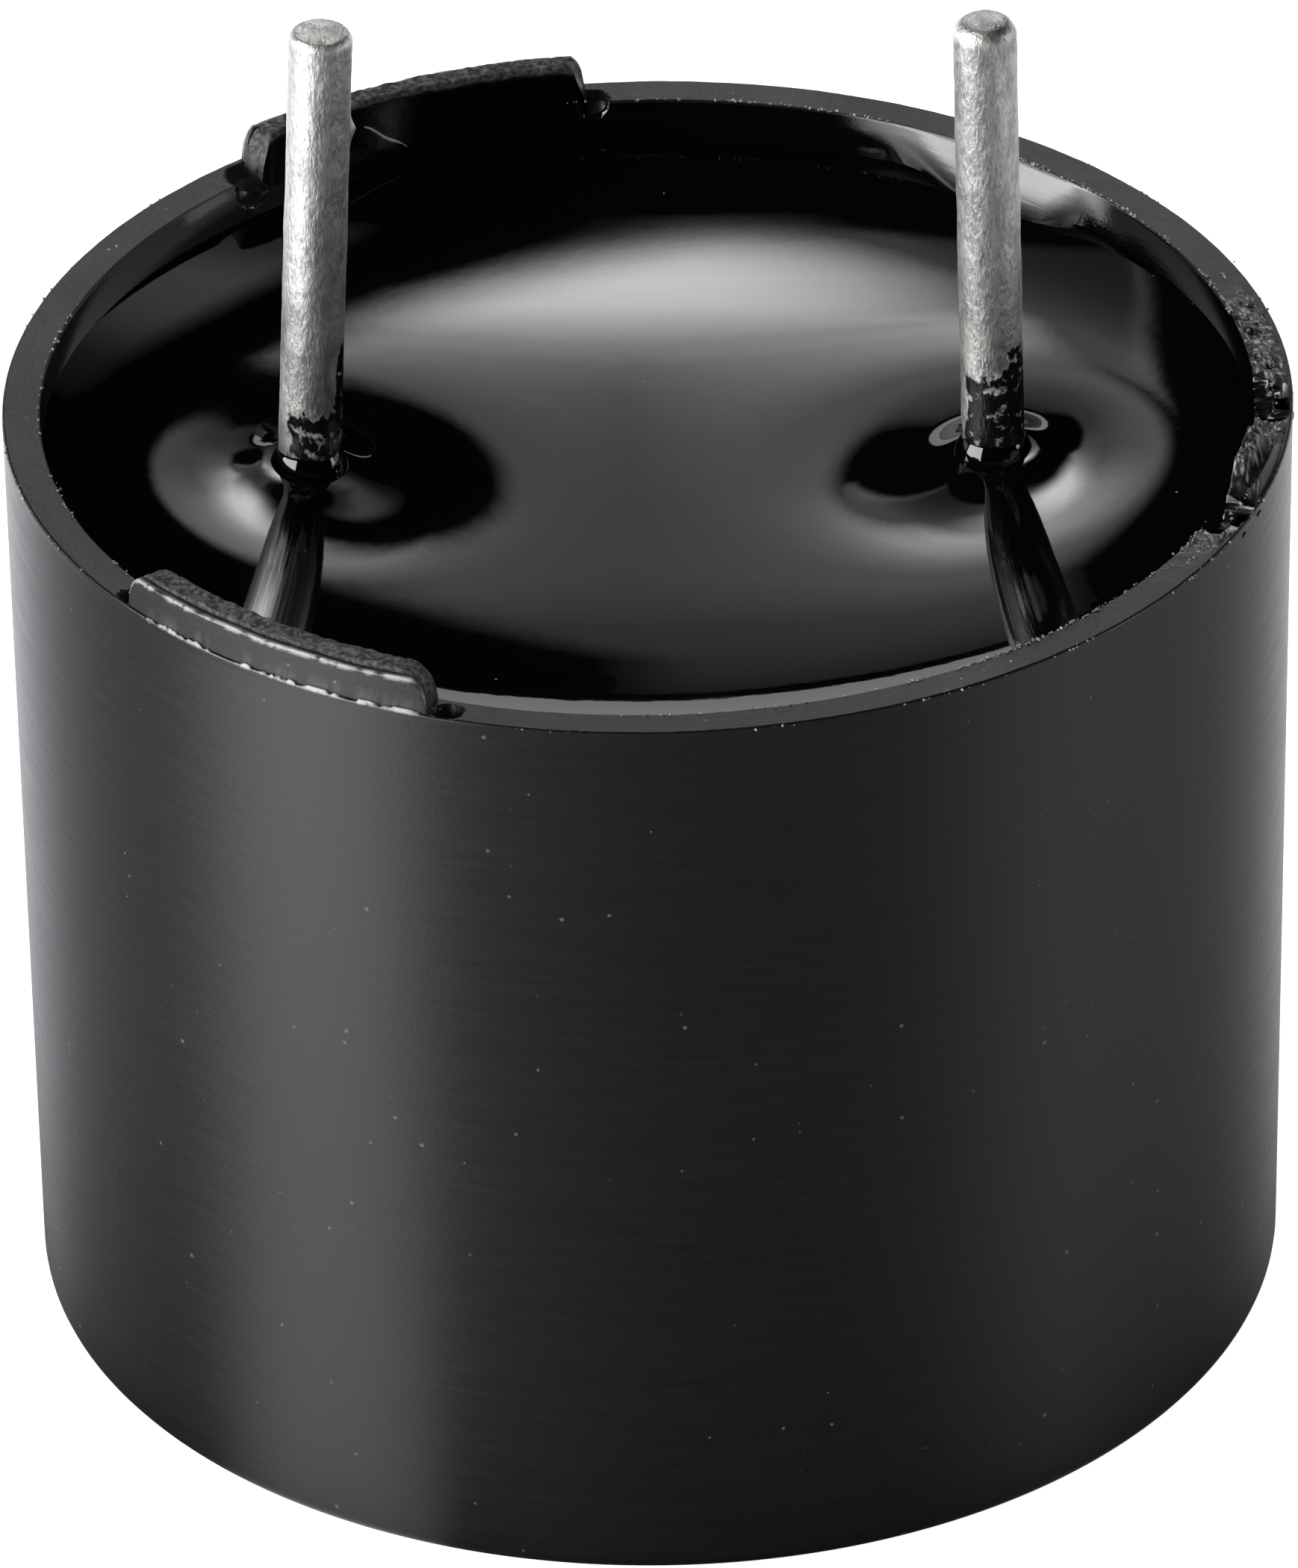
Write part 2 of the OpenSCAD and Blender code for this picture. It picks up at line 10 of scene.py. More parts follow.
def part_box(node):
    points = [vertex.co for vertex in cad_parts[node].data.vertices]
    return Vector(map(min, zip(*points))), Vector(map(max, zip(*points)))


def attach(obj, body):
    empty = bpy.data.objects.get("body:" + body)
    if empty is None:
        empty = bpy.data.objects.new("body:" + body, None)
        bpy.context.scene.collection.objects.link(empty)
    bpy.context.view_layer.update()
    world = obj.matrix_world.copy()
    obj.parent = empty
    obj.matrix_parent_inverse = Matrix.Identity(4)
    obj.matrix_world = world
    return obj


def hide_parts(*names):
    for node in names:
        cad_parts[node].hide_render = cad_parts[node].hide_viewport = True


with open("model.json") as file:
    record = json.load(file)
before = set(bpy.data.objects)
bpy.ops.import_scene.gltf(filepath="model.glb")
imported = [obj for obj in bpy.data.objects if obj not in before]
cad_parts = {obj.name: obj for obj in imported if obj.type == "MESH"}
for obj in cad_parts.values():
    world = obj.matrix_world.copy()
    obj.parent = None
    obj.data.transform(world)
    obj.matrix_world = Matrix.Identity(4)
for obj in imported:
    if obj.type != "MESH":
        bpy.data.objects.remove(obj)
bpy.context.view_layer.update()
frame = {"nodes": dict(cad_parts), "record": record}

mm = 0.001
mounts = {mount["name"]: mount for mount in frame["record"]["mounts"]}


def inMm(node):  # lowest and highest corner of a node
    low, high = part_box(node)
    return [v / mm for v in low], [v / mm for v in high]


houseLow, houseHigh = inMm("housing")
resinLow, _ = inMm("potting_resin")
plateLow, _ = inMm("diaphragm_plate")


# Shared shader groups

def addNode(tree, kind, **values):
    node = tree.nodes.new("ShaderNode" + kind)
    for name, value in values.items():
        node.inputs[name.replace("_", " ")].default_value = value
    return node


def mathNode(tree, operation, first, second=0.0, clamp=False):
    node = addNode(tree, "Math")
    node.operation = operation
    node.use_clamp = clamp
    for socket, value in zip(node.inputs, (first, second)):
        if isinstance(value, (int, float)):
            socket.default_value = value
        else:
            tree.links.new(value, socket)
    return node.outputs[0]


def times(tree, first, second):
    return mathNode(tree, "MULTIPLY", first, second)


def rangeNode(tree, value, fromLow, fromHigh, toLow, toHigh, smooth=False):
    node = addNode(tree, "MapRange")
    node.interpolation_type = "SMOOTHSTEP" if smooth else "LINEAR"
    tree.links.new(value, node.inputs["Value"])
    for name, number in (("From Min", fromLow), ("From Max", fromHigh), ("To Min", toLow), ("To Max", toHigh)):
        if isinstance(number, (int, float)):
            node.inputs[name].default_value = number
        else:
            tree.links.new(number, node.inputs[name])
    return node.outputs["Result"]


def mixColours(tree, factor, first, second):
    node = addNode(tree, "Mix")
    node.data_type = "RGBA"
    tree.links.new(factor, node.inputs["Factor"])
    for socket, value in ((node.inputs[6], first), (node.inputs[7], second)):
        if isinstance(value, (tuple, list)):
            socket.default_value = (*value, 1.0)
        else:
            tree.links.new(value, socket)
    return node.outputs[2]


def newGroup(name, inputs, outputs):
    group = bpy.data.node_groups.new(name, "ShaderNodeTree")
    for label, value in inputs.items():
        socket = group.interface.new_socket(name=label, in_out="INPUT", socket_type="NodeSocketFloat")
        socket.default_value = value
    for label in outputs:
        group.interface.new_socket(name=label, in_out="OUTPUT", socket_type="NodeSocketFloat")
    return group, group.nodes.new("NodeGroupInput"), group.nodes.new("NodeGroupOutput")


def makeGrain():  # two sizes of cloudy grain, stretched along the part's upright axis or across it
    group, inside, outside = newGroup("grain", {"Size": 0.3, "Flatten": 1.0, "Detail": 4.0}, ("Mask", "Coarse"))
    place = addNode(group, "TexCoord")
    apart = addNode(group, "SeparateXYZ")
    group.links.new(place.outputs["Object"], apart.inputs[0])
    together = addNode(group, "CombineXYZ")
    for axis in "XY":
        group.links.new(apart.outputs[axis], together.inputs[axis])
    group.links.new(times(group, apart.outputs["Z"], inside.outputs["Flatten"]), together.inputs["Z"])
    scale = mathNode(group, "DIVIDE", 1.0 / mm, inside.outputs["Size"])
    for label, factor in (("Mask", 1.0), ("Coarse", 0.22)):
        cloud = addNode(group, "TexNoise", Roughness=0.6)
        group.links.new(together.outputs[0], cloud.inputs["Vector"])
        group.links.new(times(group, scale, factor), cloud.inputs["Scale"])
        group.links.new(inside.outputs["Detail"], cloud.inputs["Detail"])
        group.links.new(cloud.outputs["Fac"], outside.inputs[label])
    return group


def makeSpecks():  # scattered dots of dust or plastic crumbs, in loose clusters
    group, inside, outside = newGroup("specks", {"Size": 0.05, "Spacing": 0.4, "Cluster": 0.5}, ("Mask",))
    place = addNode(group, "TexCoord")
    cells = addNode(group, "TexVoronoi", Randomness=1.0)
    cells.feature = "F1"
    group.links.new(place.outputs["Object"], cells.inputs["Vector"])
    scale = mathNode(group, "DIVIDE", 1.0 / mm, inside.outputs["Spacing"])
    group.links.new(scale, cells.inputs["Scale"])
    across = times(group, cells.outputs["Distance"], inside.outputs["Spacing"])
    uneven = addNode(group, "SeparateColor")
    group.links.new(cells.outputs["Color"], uneven.inputs[0])
    ownSize = times(group, inside.outputs["Size"], mathNode(group, "POWER", uneven.outputs[0], 2.0))
    near = mathNode(group, "DIVIDE", across, mathNode(group, "MAXIMUM", ownSize, 0.001))
    dot = rangeNode(group, near, 1.0, 0.5, 0.0, 1.0, smooth=True)
    cloud = addNode(group, "TexNoise", Scale=600.0, Detail=2.0)
    group.links.new(place.outputs["Object"], cloud.inputs["Vector"])
    edge = mathNode(group, "SUBTRACT", 1.0, inside.outputs["Cluster"])
    some = rangeNode(group, cloud.outputs["Fac"], times(group, edge, 0.9), edge, 0.0, 1.0)
    group.links.new(times(group, dot, some), outside.inputs["Mask"])
    return group


grainGroup = makeGrain()
speckGroup = makeSpecks()


def useGroup(tree, group, **values):
    node = addNode(tree, "Group")
    node.node_tree = group
    for name, value in values.items():
        node.inputs[name].default_value = value
    return node


def readMark(tree, name):  # a value painted on the mesh, point by point
    node = addNode(tree, "Attribute")
    node.attribute_name = name
    return node.outputs["Fac"]


def newFinish(name, **values):
    finish = bpy.data.materials.new(name)
    finish.use_nodes = True
    tree = finish.node_tree
    shader = tree.nodes["Principled BSDF"]
    for label, value in values.items():
        shader.inputs[label.replace("_", " ")].default_value = value
    return finish, tree, shader


def bumpInto(tree, shader, height, distance, strength=1.0):
    bump = addNode(tree, "Bump", Strength=strength, Distance=distance * mm)
    tree.links.new(height, bump.inputs["Height"])
    before = shader.inputs["Normal"].links
    if before:
        tree.links.new(before[0].from_socket, bump.inputs["Normal"])
    tree.links.new(bump.outputs["Normal"], shader.inputs["Normal"])


def setInput(tree, shader, name, value):
    tree.links.new(value, shader.inputs[name])


# Meshes

def meshFrom(name, points, faces, finish, marks=None):
    mesh = bpy.data.meshes.new(name)
    mesh.from_pydata([(x * mm, y * mm, z * mm) for x, y, z in points], [], faces)
    mesh.validate()
    mesh.shade_smooth()
    for label, values in (marks or {}).items():
        layer = mesh.attributes.new(label, "FLOAT", "POINT")
        layer.data.foreach_set("value", values)
    mesh.materials.append(finish)
    piece = bpy.data.objects.new(name, mesh)
    bpy.context.collection.objects.link(piece)
    return piece


def gridFaces(across, rise):  # quads of a grid of points, row by row
    return [(a, a + 1, a + across + 2, a + across + 1)
            for j in range(rise) for a in range(j * (across + 1), j * (across + 1) + across)]


def ringFaces(rows, count):  # quads between closed rings of points
    faces = []
    for here in range(0, (rows - 1) * count, count):
        for i in range(count):
            j = (i + 1) % count
            faces.append((here + i, here + j, here + count + j, here + count + i))
    return faces


def rough(x, y, z, size, seed=0.0):  # smooth noise from -1 to 1, with lumps of about this size
    return noise.noise(Vector((x / size + seed, y / size - 1.7 * seed, z / size + 0.6 * seed)))


def awayFrom(angle, middle):  # signed difference between two angles
    return (angle - middle + 180.0) % 360.0 - 180.0


def fade(value, low, high):  # 0 below low, 1 above high, smooth between
    t = min(1.0, max(0.0, (value - low) / (high - low)))
    return t * t * (3.0 - 2.0 * t)


# Housing

cup = {
    "faceThickness": 0.8,
    "soundHole": 1.0,  # radius
    "holeBevel": 0.06,
    "footRadius": 0.15,
    "outsideDraft": 0.075,
    "insideDraft": 0.1,
    "plateGap": 0.47,  # room beside the plate's seat
    "ledge": 0.5,
    "ribs": (112.0, 232.0, 352.0),
    "ribWidth": 1.0,
    "ribClear": 0.1,
    "rimWidth": 0.35,
    "rimFlat": 5.985,  # the rim is flat inside this radius, and bevelled outside it
    "rimLean": 0.022,  # how much lower the rim is at the bore
    "tabs": ((112.4, 1.75), (233.4, 1.645)),  # middle angle and half width
    "tabArc": 5.825,  # radius at which the half widths are measured
    "tabCorner": 0.27,
    "tabFace": 5.968,
    "shoulder": 0.33,  # the tabs' outer step above the rim
    "crest": 0.38,  # their highest line
    "crestFrom": 5.885,  # the crest lies inside this radius
    "flash": (234.5, 15.5),  # ragged line at the foot of the front tab: middle angle and half angle
    "brokenTab": 352.0,
    "scar": (350, 30),  # middle and half angle of the darker ground round the broken tab
    "pits": (  # angle, radius, height, size, depth
        (251.3, 5.86, 9.2, 0.14, 0.26), (215.8, 5.87, 9.2, 0.11, 0.20), (216.6, 5.93, 9.2, 0.06, 0.10),
        (94.6, 5.70, 9.16, 0.17, 0.15), (130.9, 5.72, 9.10, 0.24, 0.16),
        (357.6, 5.73, 9.2, 0.28, 0.50), (355.0, 5.82, 9.2, 0.18, 0.40), (359.9, 5.70, 9.2, 0.20, 0.40),
        (336.6, 5.73, 9.2, 0.28, 0.50), (334.0, 5.80, 9.2, 0.17, 0.34), (338.8, 5.82, 9.2, 0.17, 0.34),
        (3.2, 5.83, 9.2, 0.05, 0.06), (9.5, 5.76, 9.2, 0.04, 0.05), (14.0, 5.86, 9.2, 0.04, 0.04),
    ),
    "deepestSideways": 0.18,  # a pit goes no further than this into the wall
    "scratches": ((117.9, 113.3, 9.31, 8.97, 0.026),),  # angle to angle, height to height, half width
    "crumbs": (  # radius, height, (from angle, to angle, how many)
        (5.660, 9.186, ((12, 56, 170), (56, 88, 60), (88, 98, 12), (290, 332, 130), (160, 216, 60), (250, 290, 24))),
        (5.990, 9.184, ((186, 219, 60), (292, 345, 80), (14, 60, 24), (120, 180, 14), (250, 292, 14))),
        (5.83, 9.186, ((0, 360, 60), (322, 350, 40), (0, 20, 30))),
    ),
    "crumbSize": (0.009, 0.020),  # smallest, and how much more the largest has
    "fineFrom": ((0, 24), (36, 76), (90, 136), (210, 256), (322, 360)),  # angles where the mesh is fine
}
smear = {  # film smeared up the wall behind the right pin
    "starts": (36.5, 48),  # it grows between these angles
    "ends": (72, 19),  # it ends here, and fades over so many degrees
    "tall": 0.52,
    "thick": 0.16,
    "thickAt": 0.43,  # has that thickness where it is so tall
    "foot": 0.3,  # runs out this far below its thickest line
    # painted highlight: share of pale colour on the film, standing in for its soft sheen
    "sheenShare": 0.5,
}
paintedWallLight = {  # painted light: a lighter grey patch on the left of the bore, where light falls on the wall
    "share": 0.062,
    "starts": (122, 140),
    "ends": (196, 16),
}
caseRadius = (houseHigh[0] - houseLow[0]) / 2
rimZ = houseHigh[2] - cup["crest"]
boreRadius = caseRadius - cup["rimWidth"]
seatZ = plateLow[2]
boardZ = inMm("circuit_board")[0][2]


def boreAt(z):
    return boreRadius - cup["insideDraft"] * (1 - z / rimZ)


def tabTop(angle, middle, half):  # a tab's full height here, with round corners; 0 beside it
    along = abs(awayFrom(angle, middle)) * pi / 180 * cup["tabArc"]
    over = along - (half - cup["tabCorner"])
    if over <= 0:
        return cup["crest"]
    if over >= cup["tabCorner"]:
        return 0.0
    return cup["crest"] - cup["tabCorner"] + sqrt(cup["tabCorner"] ** 2 - over ** 2)


def tabSurface(x, y, radius, angle, share, tab):  # height above the rim, torn and pale marks
    full = tabTop(angle, *tab)
    if full <= 0.0 or radius > cup["tabFace"] + 0.0021:
        return None
    if radius < cup["crestFrom"]:  # the torn crest
        inner = radius - boreRadius
        top = full + 0.016 * rough(x, y, 0, 0.07) + 0.012 * rough(x, y, 5, 0.16) - 0.01
        top -= 0.05 * (1 - min(1.0, inner / 0.05)) ** 2
        return top, 1.0 - 0.6 * fade(0.09 - inner, 0.0, 0.07), 0.0
    broken = fade(rough(x, y, 1, 0.13), -0.35, 0.1) * fade(rough(x, y, 6, 0.05), -0.5, 0.0)
    top = min(full, cup["shoulder"] + 0.008 * rough(x, y, 3, 0.4)) * share
    if share < 1.0:  # the face
        return top, 0.0, 0.9 * broken if share > 0.9 else 0.0
    edge = cup["tabFace"] - radius  # the shoulder, pale and ragged along its edge
    top -= 0.02 * (1 - min(1.0, max(0.0, edge) / 0.02)) ** 2
    top += 0.012 * broken * fade(0.02 - edge, 0.0, 0.015)
    if radius < cup["crestFrom"] + 0.012:
        top -= 0.05
    line = fade(rough(x, y, 1, 0.13), -0.6, -0.15) * fade(rough(x, y, 6, 0.05), -0.7, -0.25)
    return top, 0.2, line * fade(0.034 - edge, 0.0, 0.01)


def flashAt(x, y, radius, angle):  # share of the flash line at the front tab's foot
    middle, half = cup["flash"]
    off = abs(awayFrom(angle, middle))
    if off >= half or radius <= cup["tabFace"] + 0.0015:
        return 0.0
    burr = fade(rough(x, y, 7, 0.22), -0.3, 0.25) * fade(rough(x, y, 2, 0.045), -0.35, 0.15)
    return burr * fade(half - off, 0, 2)


def scarSurface(x, y, radius, angle, height, torn, pale):  # where the third tab broke away
    off = awayFrom(angle, cup["brokenTab"])
    if not -27 < off < 30:
        return height, torn, pale
    scar = fade(off, -25.0, -19.0) * fade(27.0 - off, 0, 6.0) * fade(caseRadius - radius, 0.03, 0.08)
    crumbly = fade(rough(x, y, 5, 0.028), 0.28, 0.48)
    height += scar * (0.035 * abs(rough(x, y, 1, 0.07)) + 0.02 * rough(x, y, 4, 0.2))
    ridge = fade(off, -12.5, -9.5) * fade(-1.0 - off, 0, 3.5) * fade(5.87 - radius, 0.0, 0.12)
    height += ridge * (0.24 + 0.06 * rough(x, y, 2, 0.09) + 0.05 * rough(x, y, 8, 0.25))
    torn = max(torn, 0.16 * scar, 0.30 * ridge)
    pale = max(pale, max(scar, ridge) * crumbly)
    fin = fade(off, -14.5, -11.0) * fade(-2.0 - off, 0, 4.5)  # thin lip left standing outside the ridge
    if fin > 0 and 5.81 < radius < 5.965:
        climb = (radius - 5.81) / 0.11
        lift = fin * 0.16 * min(1.0, climb) ** 1.7 * fade(5.966 - radius, 0.0, 0.04)
        if lift > 0.02:
            height = max(height, lift)
            torn *= 0.2
            pale *= 0.3
    return height, torn, pale


def rimTop(radius, angle, share=1.0):  # height above the rim, torn and pale; share is how far up a tab's face
    x, y = radius * cos(radians(angle)), radius * sin(radians(angle))
    torn, pale = 0.0, 0.0
    fromFlat = cup["rimFlat"] - radius
    height = 0.004 * rough(x, y, 0, 0.5) + 0.003 * rough(x, y, 0, 0.12)
    height -= cup["rimLean"] * fade(fromFlat, 0.0, 0.02) * fromFlat / 0.335
    for tab in cup["tabs"]:
        onTab = tabSurface(x, y, radius, angle, share, tab)
        if onTab:
            height, torn, pale = max(height, onTab[0]), onTab[1], max(pale, onTab[2])
    flash = flashAt(x, y, radius, angle)
    height += 0.024 * flash * fade(radius, 5.969, 5.977) * fade(5.998 - radius, 0.0, 0.01)
    pale = max(pale, flash * (0.9 if radius > 5.976 else 0.1))
    return scarSurface(x, y, radius, angle, height, torn, pale)


def carve(point, outward):  # pushes a point of the surface into the plastic where a pit is
    x, y, z = point
    for angle, radius, level, size, depth in cup["pits"]:
        px, py = radius * cos(radians(angle)), radius * sin(radians(angle))
        gap2 = (x - px) ** 2 + (y - py) ** 2 + (z - level) ** 2
        if gap2 < size ** 2:
            push = depth * (1 - gap2 / size ** 2) ** 0.6
            length = sqrt(x * x + y * y)
            z -= push * (1 - outward) * fade(cup["rimFlat"] - length, 0.0, 0.05)
            sideways = min(push, cup["deepestSideways"]) * outward / length
            x += x * sideways
            y += y * sideways
    return x, y, z


def smearAt(angle, z):  # the film's thickness and its share
    last, over = smear["ends"]
    tall = smear["tall"] * fade(angle, *smear["starts"]) * fade(last - angle, 0, over)
    lower = rimZ - tall
    if tall < 0.01 or z < lower - smear["foot"]:
        return 0.0, 0.0
    thick = smear["thick"] * tall / smear["thickAt"] * fade(tall, 0.1, 0.5)
    share = fade(z, lower - 0.15, lower + 0.03) * fade(tall, 0.0, 0.15)
    if z < lower:
        return thick * fade(z, lower - smear["foot"], lower), share
    return thick * (1 - ((z - lower) / tall) ** 1.6), share


# share of the painted light on the bore wall at this angle
def paintedWallLightAt(angle):
    last, over = paintedWallLight["ends"]
    return paintedWallLight["share"] * fade(angle, *paintedWallLight["starts"]) * fade(last - angle, 0, over)


paintedMarks = ("torn", "pale", "inside", "onTop")


def put(skin, x, y, z, torn=0.0, pale=0.0, inside=0.0, onTop=0.0):
    skin["points"].append((x, y, z))
    for label, value in zip(paintedMarks, (torn, pale, inside, onTop)):
        skin[label].append(value)


def addPlainRows(skin, profile, angles):
    for radius, z in profile:
        for angle in angles:
            a = radians(angle)
            put(skin, radius * cos(a), radius * sin(a), z)


def addBevelRows(skin, profile, angles):
    for radius, drop in profile:
        for angle in angles:
            a = radians(angle)
            height, torn, pale = rimTop(radius, angle)
            x, y, z = carve((radius * cos(a), radius * sin(a), rimZ + drop + height), 0.0)
            put(skin, x, y, z, torn, 0.0 if drop < -0.02 else pale)


def addRimRows(skin, profile, angles):
    scarMiddle, scarHalf = cup["scar"]
    for radius, share in profile:
        for angle in angles:
            a = radians(angle)
            height, torn, pale = rimTop(radius, angle, share)
            x, y, z = carve((radius * cos(a), radius * sin(a), rimZ), 0.0)
            sunk = fade(rimZ - z, 0.05, 0.16)
            scar = 0.7 * fade(scarHalf - abs(awayFrom(angle, scarMiddle)), 0, 8) * fade(5.95 - radius, 0.0, 0.1)
            # pits take some of the bore's painted shade
            inside = max(0.25 * sunk, scar * (1 - sunk))
            put(skin, x, y, z + height, torn * (1 - sunk), pale * (1 - 0.9 * sunk), inside, 1 - sunk)


def addWallRows(skin, levels, angles):
    for index, level in enumerate(levels):
        for angle in angles:
            a = radians(angle)
            film, share = smearAt(angle, level)
            radius = boreAt(level) - film
            x, y = radius * cos(a), radius * sin(a)
            if level <= 8.7:
                put(skin, x, y, level, 0.0, paintedWallLightAt(angle), 1.0)
                continue
            top = rimTop(boreRadius + 0.004, angle)[0] + rimZ  # the wall runs up a tab's inner face
            z = min(level + (top - rimZ) * fade(level, 8.95, 9.19), top)
            cx, cy, cz = carve((x, y, level), 0.75 if index < 2 else 1.0)
            raised = fade(top - rimZ, 0.05, 0.12) * fade(level, 9.0, 9.1)
            raised *= fade(28 - abs(awayFrom(angle, cup["scar"][0])), 0, 2)
            speck = raised * fade(rough(cx, cy, z, 0.035), 0.15, 0.35)
            moved = np.hypot(cx - x, cy - y) + level - cz
            # the inside mark: painted shade on the bore wall as well as its gloss, less under the smear and in the
            # pits
            boreShadeAndGloss = (0.5 if index == 0 else 1.0) * (1.0 - 0.8 * share) * (1 - 0.8 * fade(moved, 0.02, 0.08))
            # painted highlight on the film
            paintedSheen = smear["sheenShare"] * share * fade(level, rimZ - 0.5, rimZ + 0.1)
            put(skin, cx, cy, z + min(0.0, cz - level), 0.3 * raised, max(paintedWallLightAt(angle), speck, paintedSheen), boreShadeAndGloss)


def addRibs(skin, faces, inner, outer):  # ribs that carry the board
    for middle in cup["ribs"]:
        start = len(skin["points"])
        a = radians(middle)
        for z in (seatZ - 0.02, boardZ):
            for radius, side in ((inner, -1), (outer, -1), (outer, 1), (inner, 1)):
                aside = side * cup["ribWidth"] / 2
                put(skin, radius * cos(a) - aside * sin(a), radius * sin(a) + aside * cos(a), z)
        faces += [(start + 3, start + 2, start + 1, start), (start + 4, start + 5, start + 6, start + 7)]
        for i in range(4):
            j = (i + 1) % 4
            faces.append((start + i, start + j, start + 4 + j, start + 4 + i))


def addCrumbs(skin, faces):  # along the edges of the rim, in small clusters
    chance = random.Random(11)
    corners = ((0, 0, 1), (0.9, 0, 0.1), (-0.3, 0.85, 0), (-0.4, -0.8, 0.1), (0.1, 0.1, -1))
    sides = ((0, 1, 2), (0, 2, 3), (0, 3, 1), (4, 2, 1), (4, 3, 2), (4, 1, 3))
    smallest, more = cup["crumbSize"]
    for radius, level, zones in cup["crumbs"]:
        for low, high, count in zones:
            middle = low
            for k in range(count):
                if k % 4 == 0:
                    middle = chance.uniform(low, high)
                angle = radians(middle + chance.gauss(0, 1.6))
                size = smallest + more * chance.random() ** 2
                r = radius + chance.gauss(0, 0.012)
                start = len(skin["points"])
                turn = chance.uniform(0, 6.28)
                for bx, by, bz in corners:
                    cx, cy = bx * cos(turn) - by * sin(turn), bx * sin(turn) + by * cos(turn)
                    put(skin, r * cos(angle) + cx * size, r * sin(angle) + cy * size, level + bz * size * 0.8,
                        torn=0.6, pale=chance.uniform(0.2, 1.0))
                faces += [tuple(start + v for v in side) for side in sides]


def addScratches(skin, faces):  # pale scratches on a tab's inner face
    steps = 12
    for low, high, top, bottom, wide in cup["scratches"]:
        start = len(skin["points"])
        for k in range(steps + 1):
            t = k / steps
            a = radians(low + (high - low) * t)
            z = top + (bottom - top) * t + 0.012 * sin(9 * t)
            half = wide * sin(pi * min(0.97, t + 0.03)) ** 0.6 * (0.75 + 0.25 * rough(t, 0, 0, 0.2))
            for offset, r in ((half, 5.646), (0.0, 5.636), (-half, 5.646)):
                put(skin, r * cos(a), r * sin(a), z + offset, torn=0.5, pale=0.75)
        for k in range(steps):
            for c in range(2):
                here = start + 3 * k + c
                faces.append((here, here + 1, here + 4, here + 3))


def buildHousing(finish):
    angles = []
    angle = 0.0
    while angle < 359.99:
        angles.append(angle)
        angle += 0.25 if any(low <= angle < high for low, high in cup["fineFrom"]) else 1.0
    hole, face, foot = cup["soundHole"], cup["faceThickness"], cup["footRadius"]
    footR = caseRadius - cup["outsideDraft"]
    seatR = boreAt(seatZ)
    plateR = seatR - cup["plateGap"]
    chamberR = plateR - cup["ledge"]
    # one closed section, from the sound hole round the outside to the rim and down the bore
    outside = [(hole, face), (hole, cup["holeBevel"]), (hole + cup["holeBevel"], 0.0)]
    outside += [(radius, 0.0) for radius in (2.0, 3.0, 4.0, 5.0, 5.5)]
    for step in range(7):
        turn = radians(90 * step / 6)
        outside.append((footR - foot * (1 - sin(turn)), foot * (1 - cos(turn))))
    for z in (0.4, 0.8, 1.4, 2.2, 3.0, 4.0, 5.0, 6.0, 7.0, 7.8, 8.4, 8.8, 9.0, 9.1, 9.15):
        outside.append((caseRadius - cup["outsideDraft"] * (1 - z / rimZ), z))
    bevel = [(6.0, -0.028), (5.997, -0.014), (5.990, -0.004), (5.981, 0.0)]  # radius, below the rim
    rim = [(5.975, 0.0), (5.9712, 0.0), (5.9700, 0.06), (5.9697, 0.14),  # radius, share of a tab's face
           (5.9693, 0.5), (5.9688, 0.84), (5.9684, 0.93)]
    rim += [(radius, 1.0) for radius in (
        5.968, 5.960, 5.950, 5.938, 5.926, 5.914, 5.902, 5.892, 5.885, 5.882, 5.868, 5.850,
        5.832, 5.814, 5.796, 5.778, 5.760, 5.742, 5.724, 5.706, 5.690, 5.676, 5.665, 5.657)]
    wall = [9.19, 9.16, 9.12, 9.08, 9.04, 9.0, 8.96, 8.92, 8.88, 8.84, 8.8, 8.76, 8.72, 8.68, 8.64, 8.58,
            8.5, 8.36, 8.2, 7.6, 6.0, 4.5, 3.0, seatZ]
    chamber = [(plateR, seatZ), (chamberR, seatZ), (chamberR, face), (3.0, face), (hole + 0.02, face)]
    skin = {label: [] for label in ("points",) + paintedMarks}
    addPlainRows(skin, outside, angles)
    addBevelRows(skin, bevel, angles)
    addRimRows(skin, rim, angles)
    addWallRows(skin, wall, angles)
    addPlainRows(skin, chamber, angles)
    count = len(angles)
    last = len(skin["points"]) - count
    faces = ringFaces(last // count + 1, count)
    faces += [(last + i, last + (i + 1) % count, (i + 1) % count, i) for i in range(count)]
    addRibs(skin, faces, plateR + cup["ribClear"], seatR + 0.02)
    addCrumbs(skin, faces)
    addScratches(skin, faces)
    piece = meshFrom("cupBody", skin["points"], faces, finish, {label: skin[label] for label in paintedMarks})
    piece.data.set_sharp_from_angle(angle=radians(50))
    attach(piece, "root")
    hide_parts("housing")
    return piece


plastic = {
    "streaks": ((0.0044, 0.0039, 0.0046), (0.0062, 0.0056, 0.0066)),  # darker and lighter
    # painted shade: a darker copy of the plastic for the bore, standing in for the shade inside the cup
    "bore": (0.0012, 0.0012, 0.0013),
    "dust": (0.30, 0.29, 0.28),
    "torn": ((0.012, 0.0118, 0.012), (0.10, 0.098, 0.098)),
    "pale": (0.36, 0.35, 0.36),
    "roughness": (0.25, 0.32),
}


